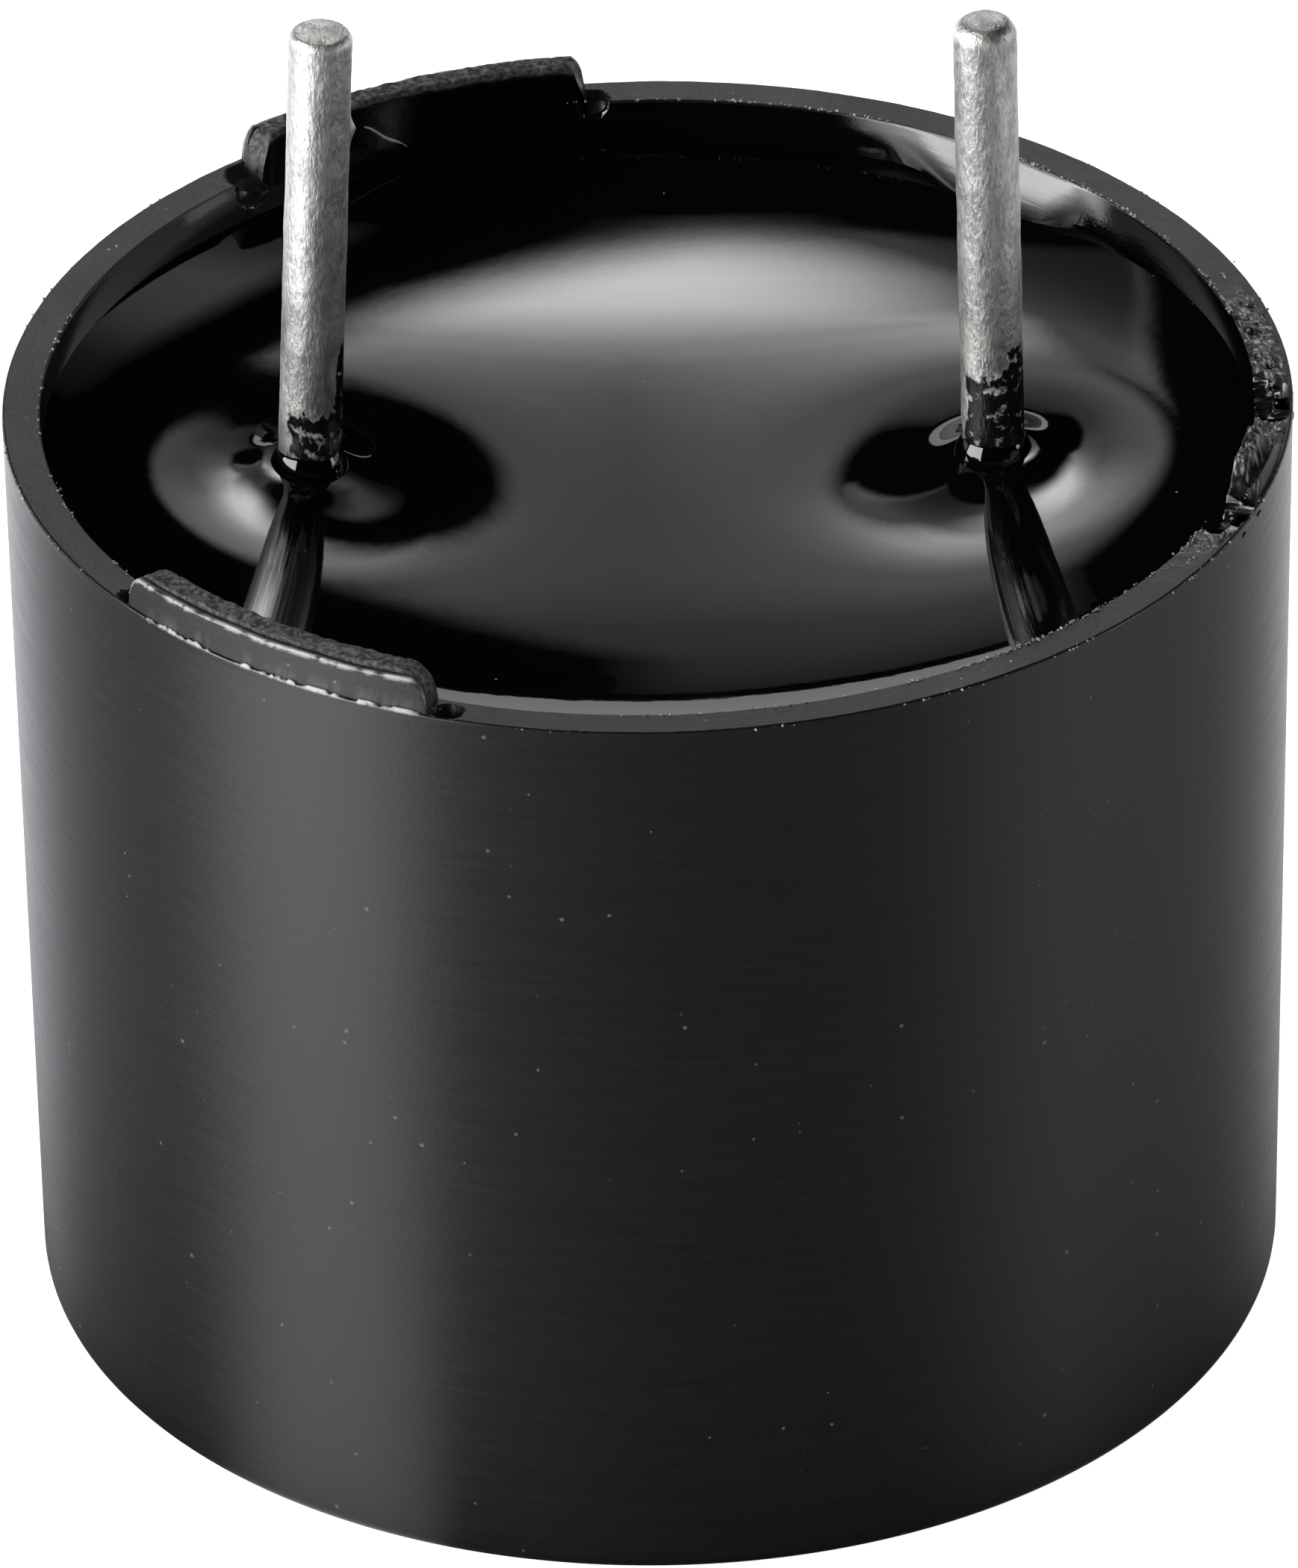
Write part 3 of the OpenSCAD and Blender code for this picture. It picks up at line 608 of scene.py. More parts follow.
def blackMoulded():
    finish, tree, shader = newFinish("blackMoulded", IOR=1.5)
    streaks = useGroup(tree, grainGroup, Size=0.9, Flatten=16.0, Detail=6.0)
    grain = useGroup(tree, grainGroup, Size=0.05, Flatten=1.0, Detail=3.0)
    dust = useGroup(tree, speckGroup, Size=0.03, Spacing=0.22, Cluster=0.52)
    torn, pale = readMark(tree, "torn"), readMark(tree, "pale")
    inside, onTop = readMark(tree, "inside"), readMark(tree, "onTop")
    tone = rangeNode(tree, streaks.outputs["Mask"], 0.3, 0.7, 0.0, 1.0)
    colour = mixColours(tree, tone, *plastic["streaks"])
    colour = mixColours(tree, times(tree, dust.outputs["Mask"], 0.25), colour, plastic["dust"])
    # painted shade: the inside mark mixes in this darker copy on the bore and the pits; the same mark also darkens
    # the ground round the broken tab
    colour = mixColours(tree, inside, colour, plastic["bore"])
    tearing = rangeNode(tree, grain.outputs["Mask"], 0.42, 0.66, 0.0, 1.0)
    tornColour = mixColours(tree, tearing, *plastic["torn"])
    colour = mixColours(tree, torn, colour, tornColour)
    # the pale mark holds real pale wear, crumbs and scratches, and also painted light: the lit patch left in the
    # bore and the highlight on the film
    colour = mixColours(tree, times(tree, pale, 0.8), colour, plastic["pale"])
    setInput(tree, shader, "Base Color", colour)
    gloss = rangeNode(tree, streaks.outputs["Mask"], 0.25, 0.75, *plastic["roughness"])
    gloss = mathNode(tree, "SUBTRACT", gloss, times(tree, inside, 0.21))
    gloss = mathNode(tree, "ADD", gloss, times(tree, onTop, 0.14))
    gloss = mathNode(tree, "ADD", gloss, times(tree, torn, 0.3), clamp=True)
    setInput(tree, shader, "Roughness", gloss)
    smoother = mathNode(tree, "SUBTRACT", 1.0, times(tree, inside, 0.8))
    bumpInto(tree, shader, times(tree, streaks.outputs["Mask"], smoother), 0.003)
    bumpInto(tree, shader, times(tree, grain.outputs["Mask"], mathNode(
        tree, "ADD", 1.0, times(tree, onTop, 2.5))), 0.0012)
    return finish


# Potting resin

potting = {
    "middle": 8.2,  # level at the pins
    "bowl": 0.188,  # how deep the surface dishes between the walls
    "reach": 1.9,  # capillary length
    "levelAt": 3.25,
    "collarPull": 0.21,
    "shelf": 0.44,  # the climb flattens inside this distance from a pin's middle
    "lumps": 0.002,
    "lumpSize": 2.2,
    "wallLevel": 8.73,  # where it meets the wall
    "footLevel": 8.42,  # where it meets the pins
    "spacing": 0.12,  # of the points in the open surface
    "wallRadii": (5.30, 5.36, 5.42, 5.47, 5.52, 5.56, 5.59, 5.615, 5.635),
    "pinGaps": (  # rings of points round a pin
        0.15, 0.27, 0.304, 0.309, 0.315, 0.322, 0.33, 0.34, 0.352, 0.366, 0.382, 0.4, 0.422, 0.45, 0.482,
        0.52, 0.56, 0.6, 0.65, 0.7, 0.76, 0.82, 0.89, 0.96, 1.04, 1.1),
    "beadLevel": 8.44,
    "beadTall": 0.27,
    "beadSlope": ((-0.35, -0.1, 0.3, 0.5, 0.95, 1.0), (-30, 0, 14, 18, 32, 60)),  # share of its height, lean
    "colour": (0.001, 0.001, 0.0011),
    "dust": (0.35, 0.34, 0.33),
    "roughness": (0.02, 0.045),
}
pinRadius = mounts["left_terminal"]["dims"]["r_mm"]


def pinAxis(side):
    mount = mounts[side + "_terminal"]
    return Vector([v / mm for v in mount["pos_m"]]), Vector(mount["axis"]).normalized()


pinFeet = []
for side in ("left", "right"):
    place, along = pinAxis(side)
    foot = place - along * ((place.z - potting["footLevel"]) / along.z)
    pinFeet.append((foot.x, foot.y))


def bessel0(x):
    steps = np.linspace(0.0, 9.0, 260)
    values = np.exp(-np.outer(x, np.cosh(steps)))
    return (values[:, 1:] + values[:, :-1]).sum(axis=1) * 0.5 * (steps[1] - steps[0])


def resinHeight(x, y):
    radius = np.hypot(x, y)
    level = potting["middle"] + potting["bowl"] * (
        np.i0(radius / potting["reach"]) - np.i0(potting["levelAt"] / potting["reach"]))
    for footX, footY in pinFeet:
        gap = np.hypot(x - footX, y - footY)
        gap = (gap ** 6 + potting["shelf"] ** 6) ** (1 / 6)
        pull = potting["collarPull"]
        inner = (gap + np.sqrt(np.maximum(gap ** 2 - pull ** 2, 0.0))) / 2
        level = level + pull * bessel0(inner / potting["reach"])
    lumps = np.array([noise.noise(Vector((px / potting["lumpSize"] + 3.1, py / potting["lumpSize"] + 0.4, 0.7)))
                      for px, py in zip(x, y)])
    return level + potting["lumps"] * lumps


def buildResin(finish):
    places = []
    wallR = boreAt(potting["wallLevel"]) + 0.002
    spacing = potting["spacing"]
    radii = list(np.arange(spacing, 5.3, spacing)) + list(potting["wallRadii"])
    places.append((0.0, 0.0))
    for radius in radii:
        count = max(6, int(2 * pi * radius / spacing))
        for i in range(count):
            a = 2 * pi * (i + 0.5 * (len(places) % 2)) / count
            x, y = radius * cos(a), radius * sin(a)
            if min(np.hypot(x - fx, y - fy) for fx, fy in pinFeet) > 1.12:
                places.append((x, y))
    for fx, fy in pinFeet:
        places.append((fx, fy))
        for k, gap in enumerate(potting["pinGaps"]):
            for i in range(72):
                a = 2 * pi * (i + 0.5 * (k % 2)) / 72
                places.append((fx + gap * cos(a), fy + gap * sin(a)))
    ringCount = 360
    for i in range(ringCount):
        a = 2 * pi * i / ringCount
        places.append((wallR * cos(a), wallR * sin(a)))
    flat, _, faces, _, _, _ = geometry.delaunay_2d_cdt([Vector(p) for p in places], [], [], 0, 1e-7)
    x = np.array([p.x for p in flat])
    y = np.array([p.y for p in flat])
    z = resinHeight(x, y)
    step = 0.004
    slopeX = (resinHeight(x + step, y) - resinHeight(x - step, y)) / (2 * step)
    slopeY = (resinHeight(x, y + step) - resinHeight(x, y - step)) / (2 * step)
    points = [(float(a), float(b), float(c)) for a, b, c in zip(x, y, z)]
    topFaces = []
    for a, b, c in faces:  # every triangle faces up
        upward = (x[b] - x[a]) * (y[c] - y[a]) - (x[c] - x[a]) * (y[b] - y[a])
        topFaces.append((a, b, c) if upward > 0 else (a, c, b))
    ring = sorted((i for i in range(len(points)) if np.hypot(x[i], y[i]) > wallR - 1e-4),
                  key=lambda i: np.arctan2(y[i], x[i]))
    start = len(points)
    lowZ = resinLow[2]
    lowR = boreAt(lowZ)
    for i in ring:
        a = np.arctan2(y[i], x[i])
        points.append((lowR * cos(a), lowR * sin(a), lowZ))
    middle = len(points)
    points.append((0.0, 0.0, lowZ))
    count = len(ring)
    sideFaces = []
    for k in range(count):
        n = (k + 1) % count
        sideFaces.append((ring[k], start + k, start + n, ring[n]))
        sideFaces.append((start + k, middle, start + n))
    length = np.sqrt(slopeX ** 2 + slopeY ** 2 + 1)
    normals = [(-sx / d, -sy / d, 1 / d) for sx, sy, d in zip(slopeX, slopeY, length)]
    for i in ring:
        a = np.arctan2(y[i], x[i])
        normals.append((cos(a), sin(a), 0.0))
    normals.append((0.0, 0.0, -1.0))
    beadFaces = []
    for fx, fy in pinFeet:  # the bead where the resin ends on the pin
        start = len(points)
        turns, rounds = 96, 20
        for i in range(turns):
            a = 2 * pi * i / turns
            lift = 0.022 * cos(a + pi / 2) + 0.016 * rough(cos(a), sin(a), fx, 0.8)
            wide = 1 + 0.15 * rough(cos(a), sin(a), fx + 4, 0.9)
            r = pinRadius - 0.012
            below = 1.0
            for k in range(rounds + 1):  # from the pin down into the resin
                share = 1.0 - 1.35 * (k / rounds) ** 1.3
                lean = radians(float(np.interp(share, *potting["beadSlope"])))
                r += (below - share) * potting["beadTall"] * tan(lean) * wide
                below = share
                z = potting["beadLevel"] + lift + potting["beadTall"] * share
                points.append((fx + r * cos(a), fy + r * sin(a), z))
                normals.append((cos(lean) * cos(a), cos(lean) * sin(a), sin(lean)))
        for i in range(turns):
            j = (i + 1) % turns
            for k in range(rounds):
                here, there = start + i * (rounds + 1) + k, start + j * (rounds + 1) + k
                beadFaces.append((here, here + 1, there + 1, there))
    piece = meshFrom("pottingResin", points, topFaces + sideFaces + beadFaces, finish)
    mesh = piece.data
    layer = mesh.attributes.new("custom_normal", "FLOAT_VECTOR", "POINT")
    layer.data.foreach_set("vector", np.array(normals, np.float32).ravel())
    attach(piece, "root")
    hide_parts("potting_resin")
    return piece


def blackResin():
    finish, tree, shader = newFinish("blackResin", IOR=1.5, Base_Color=(*potting["colour"], 1.0))
    cloud = useGroup(tree, grainGroup, Size=0.5, Flatten=1.0, Detail=3.0)
    dust = useGroup(tree, speckGroup, Size=0.02, Spacing=0.35, Cluster=0.46)
    setInput(tree, shader, "Roughness", rangeNode(tree, cloud.outputs["Coarse"], 0.35, 0.65, *potting["roughness"]))
    colour = mixColours(tree, dust.outputs["Mask"], potting["colour"], potting["dust"])
    setInput(tree, shader, "Base Color", colour)
    bumpInto(tree, shader, cloud.outputs["Mask"], 0.0006)
    return finish


# Pins

pins = {
    "left": {"tip": 0.10, "seed": 1.3, "burrAt": 12.07, "burr": 0.06},
    "right": {"tip": 0.18, "seed": 7.9, "burrAt": 10.6, "burr": 0.0},
}


def buildPin(side, finish):
    look = pins[side]
    low, high = inMm(side + "_pin")
    place, along = pinAxis(side)
    bottom = place + along * ((low[2] - place.z) / along.z)
    tiltLoss = pinRadius * sqrt(1 - along.z ** 2)
    length = (high[2] - bottom.z) / along.z - tiltLoss * 0.4
    across = along.orthogonal().normalized()
    beside = along.cross(across)
    heights, sizes = [], []
    t = 0.0
    while t < length - look["tip"]:
        heights.append(t)
        sizes.append(pinRadius)
        t += 0.05
    for k in range(9):
        turn = radians(90 * k / 9)
        heights.append(length - look["tip"] * (1 - sin(turn)))
        sizes.append(pinRadius - look["tip"] * (1 - cos(turn)))
    topR = pinRadius - look["tip"]
    for share in (0.95, 0.75, 0.5, 0.25):
        heights.append(length)
        sizes.append(topR * share)
    points = []
    segments = 72
    for t, size in zip(heights, sizes):
        for i in range(segments):
            a = 2 * pi * i / segments
            ring = across * cos(a) + beside * sin(a)
            spot = bottom + along * t + ring * size
            bumps = 0.006 * rough(*spot, 0.35, look["seed"]) + 0.003 * rough(*spot, 0.1, look["seed"])
            spot = spot + ring * (bumps - 0.006) * min(1.0, size / pinRadius + 0.2)
            onRight = fade(ring.x - abs(ring.y) * 0.8, 0.75, 1.0)
            nearBurr = max(0.0, 1 - abs(spot.z - look["burrAt"] - 0.05 * ring.y) / 0.17)
            burr = look["burr"] * onRight * nearBurr ** 1.5
            spot = spot + ring * burr + Vector((0, 0, 0.5 * burr))
            if size < pinRadius - look["tip"] * 0.5:
                spot = spot + along * (0.008 * rough(*spot, 0.09, look["seed"] + 2) - 0.01)
            points.append(tuple(spot))
    rows = len(heights)
    faces = ringFaces(rows, segments)
    faces.append(tuple(reversed(range(segments))))
    top = len(points)
    points.append(tuple(bottom + along * (length - 0.01)))
    last = (rows - 1) * segments
    for i in range(segments):
        faces.append((last + i, last + (i + 1) % segments, top))
    piece = meshFrom(side + "Pin", points, faces, finish)
    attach(piece, "root")
    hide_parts(side + "_pin")
    return piece


tin = {
    "clean": (0.93, 0.92, 0.90),
    "dull": (0.66, 0.65, 0.63),
    "smut": (0.34, 0.33, 0.32),
    "pepper": (0.40, 0.39, 0.38),
    "flux": (0.006, 0.0045, 0.004),
    "fluxTop": 9.40,  # how high the burnt flux stands
    "fluxLean": 0.34,  # how much higher it stands on the right
    "roughness": (0.40, 0.55),
}


def tinnedWire():
    finish, tree, shader = newFinish("tinnedWire", Metallic=1.0)
    fineGrain = useGroup(tree, grainGroup, Size=0.030, Flatten=0.35, Detail=2.0)
    mottle = useGroup(tree, grainGroup, Size=0.16, Flatten=0.55, Detail=5.0)
    patches = useGroup(tree, grainGroup, Size=0.5, Flatten=0.5, Detail=5.0)
    place = addNode(tree, "TexCoord")
    apart = addNode(tree, "SeparateXYZ")
    tree.links.new(place.outputs["Object"], apart.inputs[0])
    uneven = times(tree, mathNode(tree, "SUBTRACT", patches.outputs["Mask"], 0.5), 2.4 * mm)
    uneven = mathNode(tree, "ADD", uneven, times(
        tree, mathNode(tree, "SUBTRACT", mottle.outputs["Mask"], 0.5), 0.3 * mm))
    heightAt = mathNode(tree, "ADD", apart.outputs["Z"], uneven)
    facing = addNode(tree, "NewGeometry")
    sides = addNode(tree, "SeparateXYZ")
    tree.links.new(facing.outputs["Normal"], sides.inputs[0])
    heightAt = mathNode(tree, "SUBTRACT", heightAt, times(tree, sides.outputs["X"], tin["fluxLean"] * mm))
    flux = rangeNode(tree, heightAt, tin["fluxTop"] * mm, (tin["fluxTop"] - 0.1) * mm, 0.0, 1.0, smooth=True)
    crust = useGroup(tree, grainGroup, Size=0.11, Flatten=1.0, Detail=5.0)
    fluxTone = rangeNode(tree, crust.outputs["Mask"], 0.33, 0.43, 0.5, 1.0)
    dull = rangeNode(tree, mottle.outputs["Mask"], 0.36, 0.64, 0.0, 1.0)
    colour = mixColours(tree, dull, tin["clean"], tin["dull"])
    smut = rangeNode(tree, patches.outputs["Mask"], 0.52, 0.66, 0.0, 0.55)
    colour = mixColours(tree, smut, colour, tin["smut"])
    pepper = rangeNode(tree, fineGrain.outputs["Mask"], 0.48, 0.64, 0.0, 0.6)
    colour = mixColours(tree, pepper, colour, tin["pepper"])
    colour = mixColours(tree, times(tree, flux, fluxTone), colour, tin["flux"])
    setInput(tree, shader, "Base Color", colour)
    setInput(tree, shader, "Metallic", rangeNode(tree, flux, 0.0, 1.0, 1.0, 0.15))
    satin = rangeNode(tree, mottle.outputs["Mask"], 0.35, 0.65, *tin["roughness"])
    setInput(tree, shader, "Roughness", mathNode(tree, "SUBTRACT", satin, times(tree, flux, 0.16)))
    bumpInto(tree, shader, mottle.outputs["Mask"], 0.012)
    bumpInto(tree, shader, fineGrain.outputs["Mask"], 0.008)
    return finish


# Finishes of the parts under the resin

hidden = {
    # slot: base colour, second colour, metallic, roughness low and high, grain size, bump
    "brass_plate": ((0.62, 0.42, 0.16), (0.48, 0.31, 0.11), 1.0, 0.22, 0.38, 0.4, 0.002),
    "piezo_ceramic": ((0.46, 0.43, 0.34), (0.38, 0.35, 0.28), 0.0, 0.55, 0.7, 0.12, 0.004),
    "silver_print": ((0.72, 0.71, 0.68), (0.56, 0.55, 0.52), 0.85, 0.38, 0.55, 0.10, 0.003),
    "pale_sealant": ((0.60, 0.59, 0.55), (0.50, 0.49, 0.45), 0.0, 0.4, 0.55, 0.5, 0.010),
    "board_laminate": ((0.20, 0.26, 0.10), (0.14, 0.19, 0.07), 0.0, 0.35, 0.5, 0.18, 0.004),
    "bare_copper": ((0.60, 0.27, 0.14), (0.42, 0.18, 0.09), 1.0, 0.3, 0.45, 0.25, 0.002),
    "moulded_chip": ((0.022, 0.022, 0.023), (0.035, 0.035, 0.036), 0.0, 0.5, 0.65, 0.06, 0.004),
    "tinned_legs": ((0.66, 0.65, 0.62), (0.48, 0.47, 0.45), 1.0, 0.3, 0.45, 0.12, 0.003),
    "chip_ceramic": ((0.62, 0.61, 0.58), (0.10, 0.10, 0.11), 0.0, 0.35, 0.5, 0.3, 0.002),
    "solder": ((0.66, 0.65, 0.63), (0.50, 0.49, 0.47), 1.0, 0.2, 0.38, 0.2, 0.006),
    "red_sleeve": ((0.42, 0.025, 0.020), (0.32, 0.018, 0.015), 0.0, 0.35, 0.48, 0.15, 0.003),
    "blue_sleeve": ((0.020, 0.060, 0.32), (0.015, 0.045, 0.24), 0.0, 0.35, 0.48, 0.15, 0.003),
    "black_sleeve": ((0.015, 0.015, 0.016), (0.024, 0.024, 0.025), 0.0, 0.35, 0.5, 0.15, 0.003),
}


def hiddenFinish(name):
    first, second, metal, low, high, size, bump = hidden[name]
    finish, tree, shader = newFinish(name, Metallic=metal)
    grain = useGroup(tree, grainGroup, Size=size, Flatten=1.0, Detail=4.0)
    tone = rangeNode(tree, grain.outputs["Coarse"], 0.35, 0.65, 0.0, 1.0)
    setInput(tree, shader, "Base Color", mixColours(tree, tone, first, second))
    setInput(tree, shader, "Roughness", rangeNode(tree, grain.outputs["Mask"], 0.3, 0.7, low, high))
    bumpInto(tree, shader, grain.outputs["Mask"], bump)
    return finish


# Stage

stage = {
    "world": 0.5,
    "floorTone": 0.8,
    "floorGlow": 0.85,
    "flagDistance": 0.9,
    "flags": (("backFlag", -105, 105, 13, 88), ("frontFlag", 105, 255, 3, 89)),  # span around, span up
    "plainLamps": (  # name, brightness, (span around, span up, distance, steps), seen in the gloss
        ("leftLamp", 11.0, (-140, -88, 1, 30, 0.45, (13, 7)), True),
        ("rightLamp", 5.0, (90, 101, 8, 20, 0.45, (3, 3)), True),
        ("topLamp", 1.5, (90, 270, 62, 88, 0.6, (30, 6)), False),
    ),
    "tableShadowRings": (  # radius, share of the table's brightness; the share is the part's painted shadow, darker close to its foot
        (4.5, 0.1), (6.0, 0.2), (6.3, 0.35), (7.0, 0.50), (7.5, 0.58), (8.2, 0.67), (9.0, 0.75), (11.0, 0.88),
        (14.0, 0.97), (20.0, 1.1), (40.0, 1.2), (400.0, 1.2)),
    "tableTint": (1.0, 0.975, 1.03, 1.0),
}
view = {
    "place": (-0.84, -115.63, 76.85),
    "turn": (0.5564029, 0.0058625, -0.0192912),  # pitch, yaw and roll
    "sensor": 36.0,
    "lens": 330.7182857142857,
}


def direction(around, up):  # around from straight behind towards the right, up from level
    a, e = radians(around), radians(up)
    return Vector((sin(a) * cos(e), cos(a) * cos(e), sin(e)))


def emptyMaterial(name):
    made = bpy.data.materials.new(name)
    made.use_nodes = True
    made.node_tree.nodes.clear()
    out = addNode(made.node_tree, "OutputMaterial")
    return made, made.node_tree, out


def glossOnly(card):
    card.visible_camera = False
    card.visible_diffuse = False
    card.visible_transmission = False
    card.visible_shadow = False


def softGlow(around, up):  # brightness of the big soft lamp behind the part, by direction
    if up < 15:
        return 0.0
    middle = np.interp(up, (15, 19, 25, 29, 31, 33, 35, 37, 39, 41, 43, 46, 48, 50, 52, 54, 56),
                       (0.06, 0.13, 0.25, 0.48, 0.52, 0.68, 0.88, 1.4, 2.75, 5.0, 7.5, 8.8, 8.2, 6.0, 2.9, 0.7, 0.0))
    rightEdge = np.interp(up, (21, 25, 29, 31, 33, 35, 41, 45, 49, 53),
                          (1.5, 4.1, 6.5, 7.5, 9.0, 10.3, 11.2, 10.6, 8, 5))
    rightSoft = np.interp(up, (29, 35, 41, 45, 49), (2, 2.6, 6, 9.2, 10.5))
    leftEdge = np.interp(up, (25, 31, 35, 37, 41, 45, 53), (-7.8, -9.5, -11.0, -12.0, -14.3, -15.3, -12))
    leftSoft = np.interp(up, (27, 35, 39, 41, 43, 45, 51), (2.2, 3.5, 5, 11, 14, 15, 11))
    lamp = middle * fade(around, leftEdge, leftEdge + leftSoft) * fade(rightEdge - around, 0, rightSoft)
    sides = np.interp(up, (27, 31, 33, 35, 37, 39, 41), (0.25, 0.35, 0.6, 0.9, 0.6, 0.1, 0))
    lamp *= 1 + sides * (abs(around - 1) / 6) ** 1.2 * (1.5 if around < 1 else 0.9)
    lower = np.interp(around, (-26, -20, -16, -10), (43.8, 39.2, 36.3, 30.5))  # lower edge of the spill on the left
    leftSpill = 0.13 + 0.5 * 2 ** (min(0.0, around + 12) / 2.2)
    leftSpill *= fade(up - lower, -0.5, 0.8) * fade(51.5 + 0.4 * (around + 14) - up, -1, 1.5)
    leftSpill += 0.28 * np.exp(-((up - lower - 1.2) / 0.6) ** 2) * fade(-around, 9, 11)
    leftSpill *= fade(around, -28, -25) * fade(-around, 7.5, 9.5)
    rightSpill = np.interp(up, (31, 35, 37, 39, 41, 43, 46, 48, 50, 52, 55),
                           (0.02, 0.09, 0.2, 0.36, 0.5, 0.6, 0.66, 0.5, 0.32, 0.25, 0))
    rightSpill *= fade(around, 15.2, 19.5) * fade(31 - around, 0, 3)
    return 0.01 + max(lamp, leftSpill, rightSpill)


def domeSpots(fromAround, toAround, fromUp, toUp, steps):  # directions over a patch of the dome, row by row
    across, rise = steps
    return [(fromAround + (toAround - fromAround) * i / across, fromUp + (toUp - fromUp) * j / rise)
            for j in range(rise + 1) for i in range(across + 1)]


def stageMesh(name, points, faces):
    mesh = bpy.data.meshes.new(name)
    mesh.from_pydata(points, [], faces)
    card = bpy.data.objects.new(name, mesh)
    bpy.context.collection.objects.link(card)
    made, tree, out = emptyMaterial(name)
    mesh.materials.append(made)
    return card, tree, out


def shine(card, tree, out, glow, **values):  # each point shines with its own glow
    layer = card.data.attributes.new("glow", "FLOAT", "POINT")
    layer.data.foreach_set("value", glow)
    light = addNode(tree, "Emission", **values)
    tree.links.new(readMark(tree, "glow"), light.inputs["Strength"])
    tree.links.new(light.outputs[0], out.inputs["Surface"])


def lampDome(name, glowAt, fromAround, toAround, fromUp, toUp, distance, steps, mirrored=True):
    spots = domeSpots(fromAround, toAround, fromUp, toUp, steps)
    glow = [float(glowAt(around, up)) for around, up in spots]
    faces = [corners for corners in gridFaces(*steps) if max(glow[c] for c in corners) > 0.03]
    lamp, tree, out = stageMesh(name, [tuple(direction(*spot) * distance) for spot in spots], faces)
    shine(lamp, tree, out, glow)
    lamp.visible_camera = False
    lamp.visible_shadow = False
    lamp.visible_glossy = mirrored


def darkFlag(name, *span):  # black cloth behind the lamps
    steps = (24, 8)
    points = [tuple(direction(*spot) * stage["flagDistance"]) for spot in domeSpots(*span, steps)]
    flag, tree, out = stageMesh(name, points, gridFaces(*steps))
    cloth = addNode(tree, "BsdfDiffuse", Color=(0.004, 0.004, 0.004, 1.0))
    tree.links.new(cloth.outputs[0], out.inputs["Surface"])
    glossOnly(flag)


tableLightAndShadow = [  # direction the wall mirrors, from the front towards the left, and the table's brightness there: painted light and shadow, dark in front where the part's shadow falls, bright where the lamps light the table
    (-180, 1.2), (-165, 1.1), (-152, 0.75), (-142, 0.5), (-131, 0.36), (-120, 0.33), (-113, 0.34), (-97, 0.42),
    (-78, 0.62), (-62, 0.42), (-46, 0.22), (-30, 0.16), (-4, 0.16), (9, 0.20), (23, 0.28), (34, 0.34), (40, 0.45),
    (46, 1.3), (55, 1.9), (64, 1.9), (74, 1.8), (85, 0.9), (94, 0.38), (104, 0.28), (124, 0.42), (138, 0.6),
    (150, 1.1), (165, 1.4), (180, 1.2),
]


def wallDirection(radius, turn):  # which way the wall looks when it mirrors this place on the table
    low, high = turn / 2, turn
    for _ in range(30):
        middle = (low + high) / 2
        if radius * sin(radians(2 * middle - turn)) < caseRadius * sin(radians(middle)):
            low = middle
        else:
            high = middle
    return low + high


def paintedTableReflection(name):  # card round the foot that only the reflections see: a painted reflection of the table with the part's painted shadow, darker close to the part
    turns = list(range(-180, 180, 2))
    points, glow = [], []
    for radius, share in stage["tableShadowRings"]:
        for turn in turns:
            a = radians(turn)
            points.append((-radius * mm * sin(a), -radius * mm * cos(a), 0.00004))
            facing = wallDirection(max(radius, 6.01), abs(turn)) * (1 if turn > 0 else -1)
            # where the left lamp lights the table the painted shadow at the foot is weaker
            hot = fade(facing, 36, 44) * fade(94 - facing, 0, 8)
            lifted = share ** 0.5 * (1 + 0.3 * fade(radius, 11, 20))
            level = float(np.interp(facing, *zip(*tableLightAndShadow)))
            glow.append(level * (share + (lifted - share) * hot))
    card, tree, out = stageMesh(name, points, ringFaces(len(stage["tableShadowRings"]), len(turns)))
    shine(card, tree, out, glow, Color=stage["tableTint"])
    card.active_material.cycles.emission_sampling = "NONE"
    glossOnly(card)


def seenDirectly(tree):  # 1 for the eye, mirrors and glass, 0 for the light that falls on things
    path = addNode(tree, "LightPath")
    seen = mathNode(tree, "ADD", path.outputs["Is Camera Ray"], path.outputs["Is Glossy Ray"], clamp=True)
    return mathNode(tree, "ADD", seen, path.outputs["Is Transmission Ray"], clamp=True)


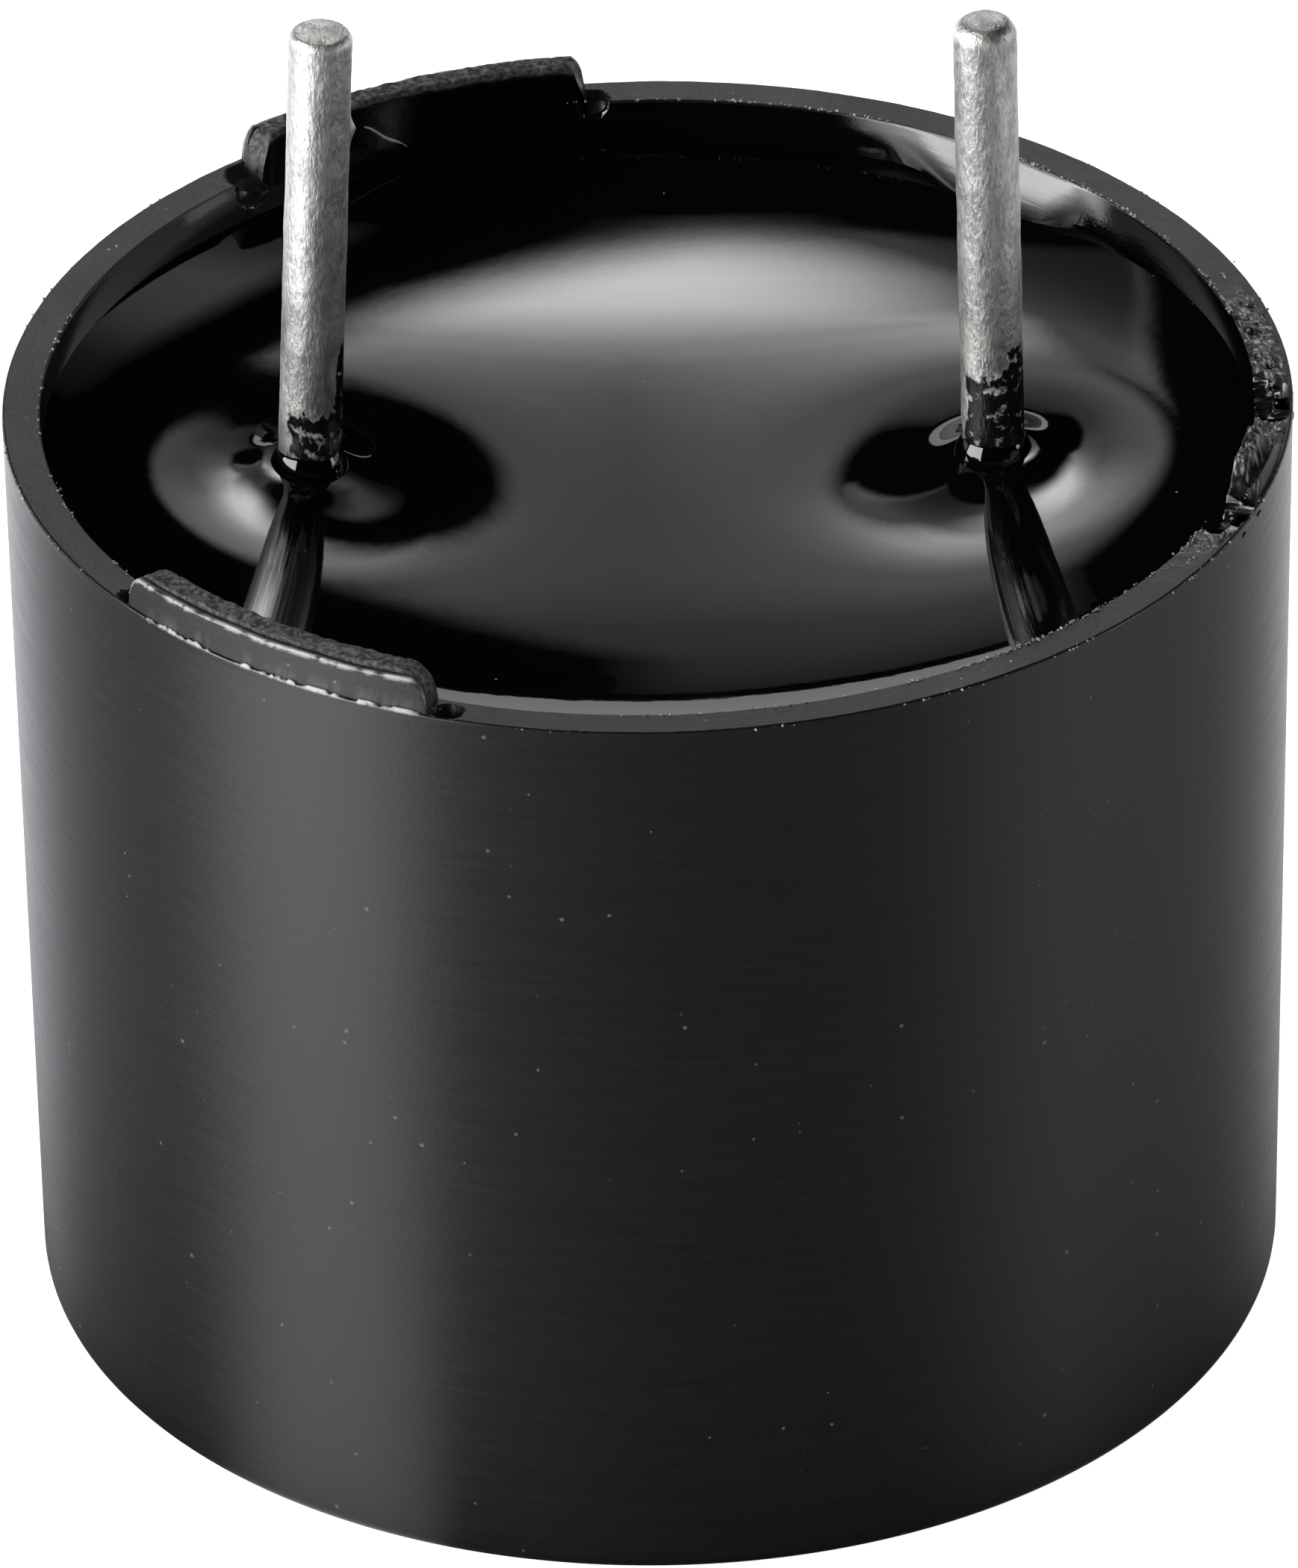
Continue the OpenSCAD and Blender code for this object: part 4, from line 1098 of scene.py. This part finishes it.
def buildStage():
    world = bpy.data.worlds.new("studio")
    bpy.context.scene.world = world
    world.use_nodes = True
    tree = world.node_tree
    tree.nodes.clear()
    out = addNode(tree, "OutputWorld")
    back = addNode(tree, "Background", Color=(1.0, 1.0, 1.0, 1.0))
    tree.links.new(rangeNode(tree, seenDirectly(tree), 0.0, 1.0, stage["world"], 1.0), back.inputs["Strength"])
    tree.links.new(back.outputs[0], out.inputs["Surface"])

    bpy.ops.mesh.primitive_grid_add(x_subdivisions=2, y_subdivisions=2, size=3.0)
    floor = bpy.context.object
    floor.name = "floor"
    made, tree, out = emptyMaterial("paleFloor")
    card = addNode(tree, "BsdfDiffuse", Color=(stage["floorTone"],) * 3 + (1.0,))
    glow = addNode(tree, "Emission", Color=(1.0, 1.0, 1.0, 1.0))
    tree.links.new(times(tree, seenDirectly(tree), stage["floorGlow"]), glow.inputs["Strength"])
    both = addNode(tree, "AddShader")
    tree.links.new(card.outputs[0], both.inputs[0])
    tree.links.new(glow.outputs[0], both.inputs[1])
    through = addNode(tree, "BsdfTransparent")  # seen from below, the floor isn't there
    side = addNode(tree, "NewGeometry")
    mix = addNode(tree, "MixShader")
    tree.links.new(side.outputs["Backfacing"], mix.inputs[0])
    tree.links.new(both.outputs[0], mix.inputs[1])
    tree.links.new(through.outputs[0], mix.inputs[2])
    tree.links.new(mix.outputs[0], out.inputs["Surface"])
    floor.data.materials.append(made)
    floor.location.z = -0.00002

    for flag in stage["flags"]:
        darkFlag(*flag)
    paintedTableReflection("paintedTableReflection")
    lampDome("backLamp", softGlow, -30, 32, 14, 58, 0.6, (240, 170))
    for name, level, span, mirrored in stage["plainLamps"]:
        lampDome(name, lambda around, up: level, *span, mirrored=mirrored)


def buildCamera():
    data = bpy.data.cameras.new("view")
    data.sensor_fit = "AUTO"
    data.sensor_width = view["sensor"]
    data.lens = view["lens"]
    data.clip_start = 0.01
    camera = bpy.data.objects.new("view", data)
    pitch, yaw, roll = view["turn"]
    ahead = Vector((0, cos(pitch), -sin(pitch)))
    right = Vector((1, 0, 0))
    up = right.cross(ahead)
    ahead, right = ahead * cos(yaw) + right * sin(yaw), right * cos(yaw) - ahead * sin(yaw)
    right, up = right * cos(roll) + up * sin(roll), up * cos(roll) - right * sin(roll)
    turn = Matrix((right, up, -ahead)).transposed().to_4x4()
    camera.matrix_world = Matrix.Translation(Vector(view["place"]) * mm) @ turn
    bpy.context.collection.objects.link(camera)
    bpy.context.scene.camera = camera


buildCamera()
buildStage()
print("stage ready")
buildHousing(blackMoulded())
print("housing ready")
buildResin(blackResin())
print("resin ready")
wireFinish = tinnedWire()
for side in pins:
    buildPin(side, wireFinish)
print("pins ready")

finishes = {name: hiddenFinish(name) for name in hidden}
slotOf = {part["node"]: part["material_slot"] for part in frame["record"]["subparts"]}
replaced = ("housing", "potting_resin", "left_pin", "right_pin")
for node in frame["nodes"]:
    if node in replaced:
        continue
    piece = frame["nodes"][node]
    for slot in piece.material_slots:
        slot.material = finishes[slotOf[node]]
print("hidden parts ready")

bpy.context.scene.view_settings.view_transform = "Standard"
bpy.context.view_layer.update()
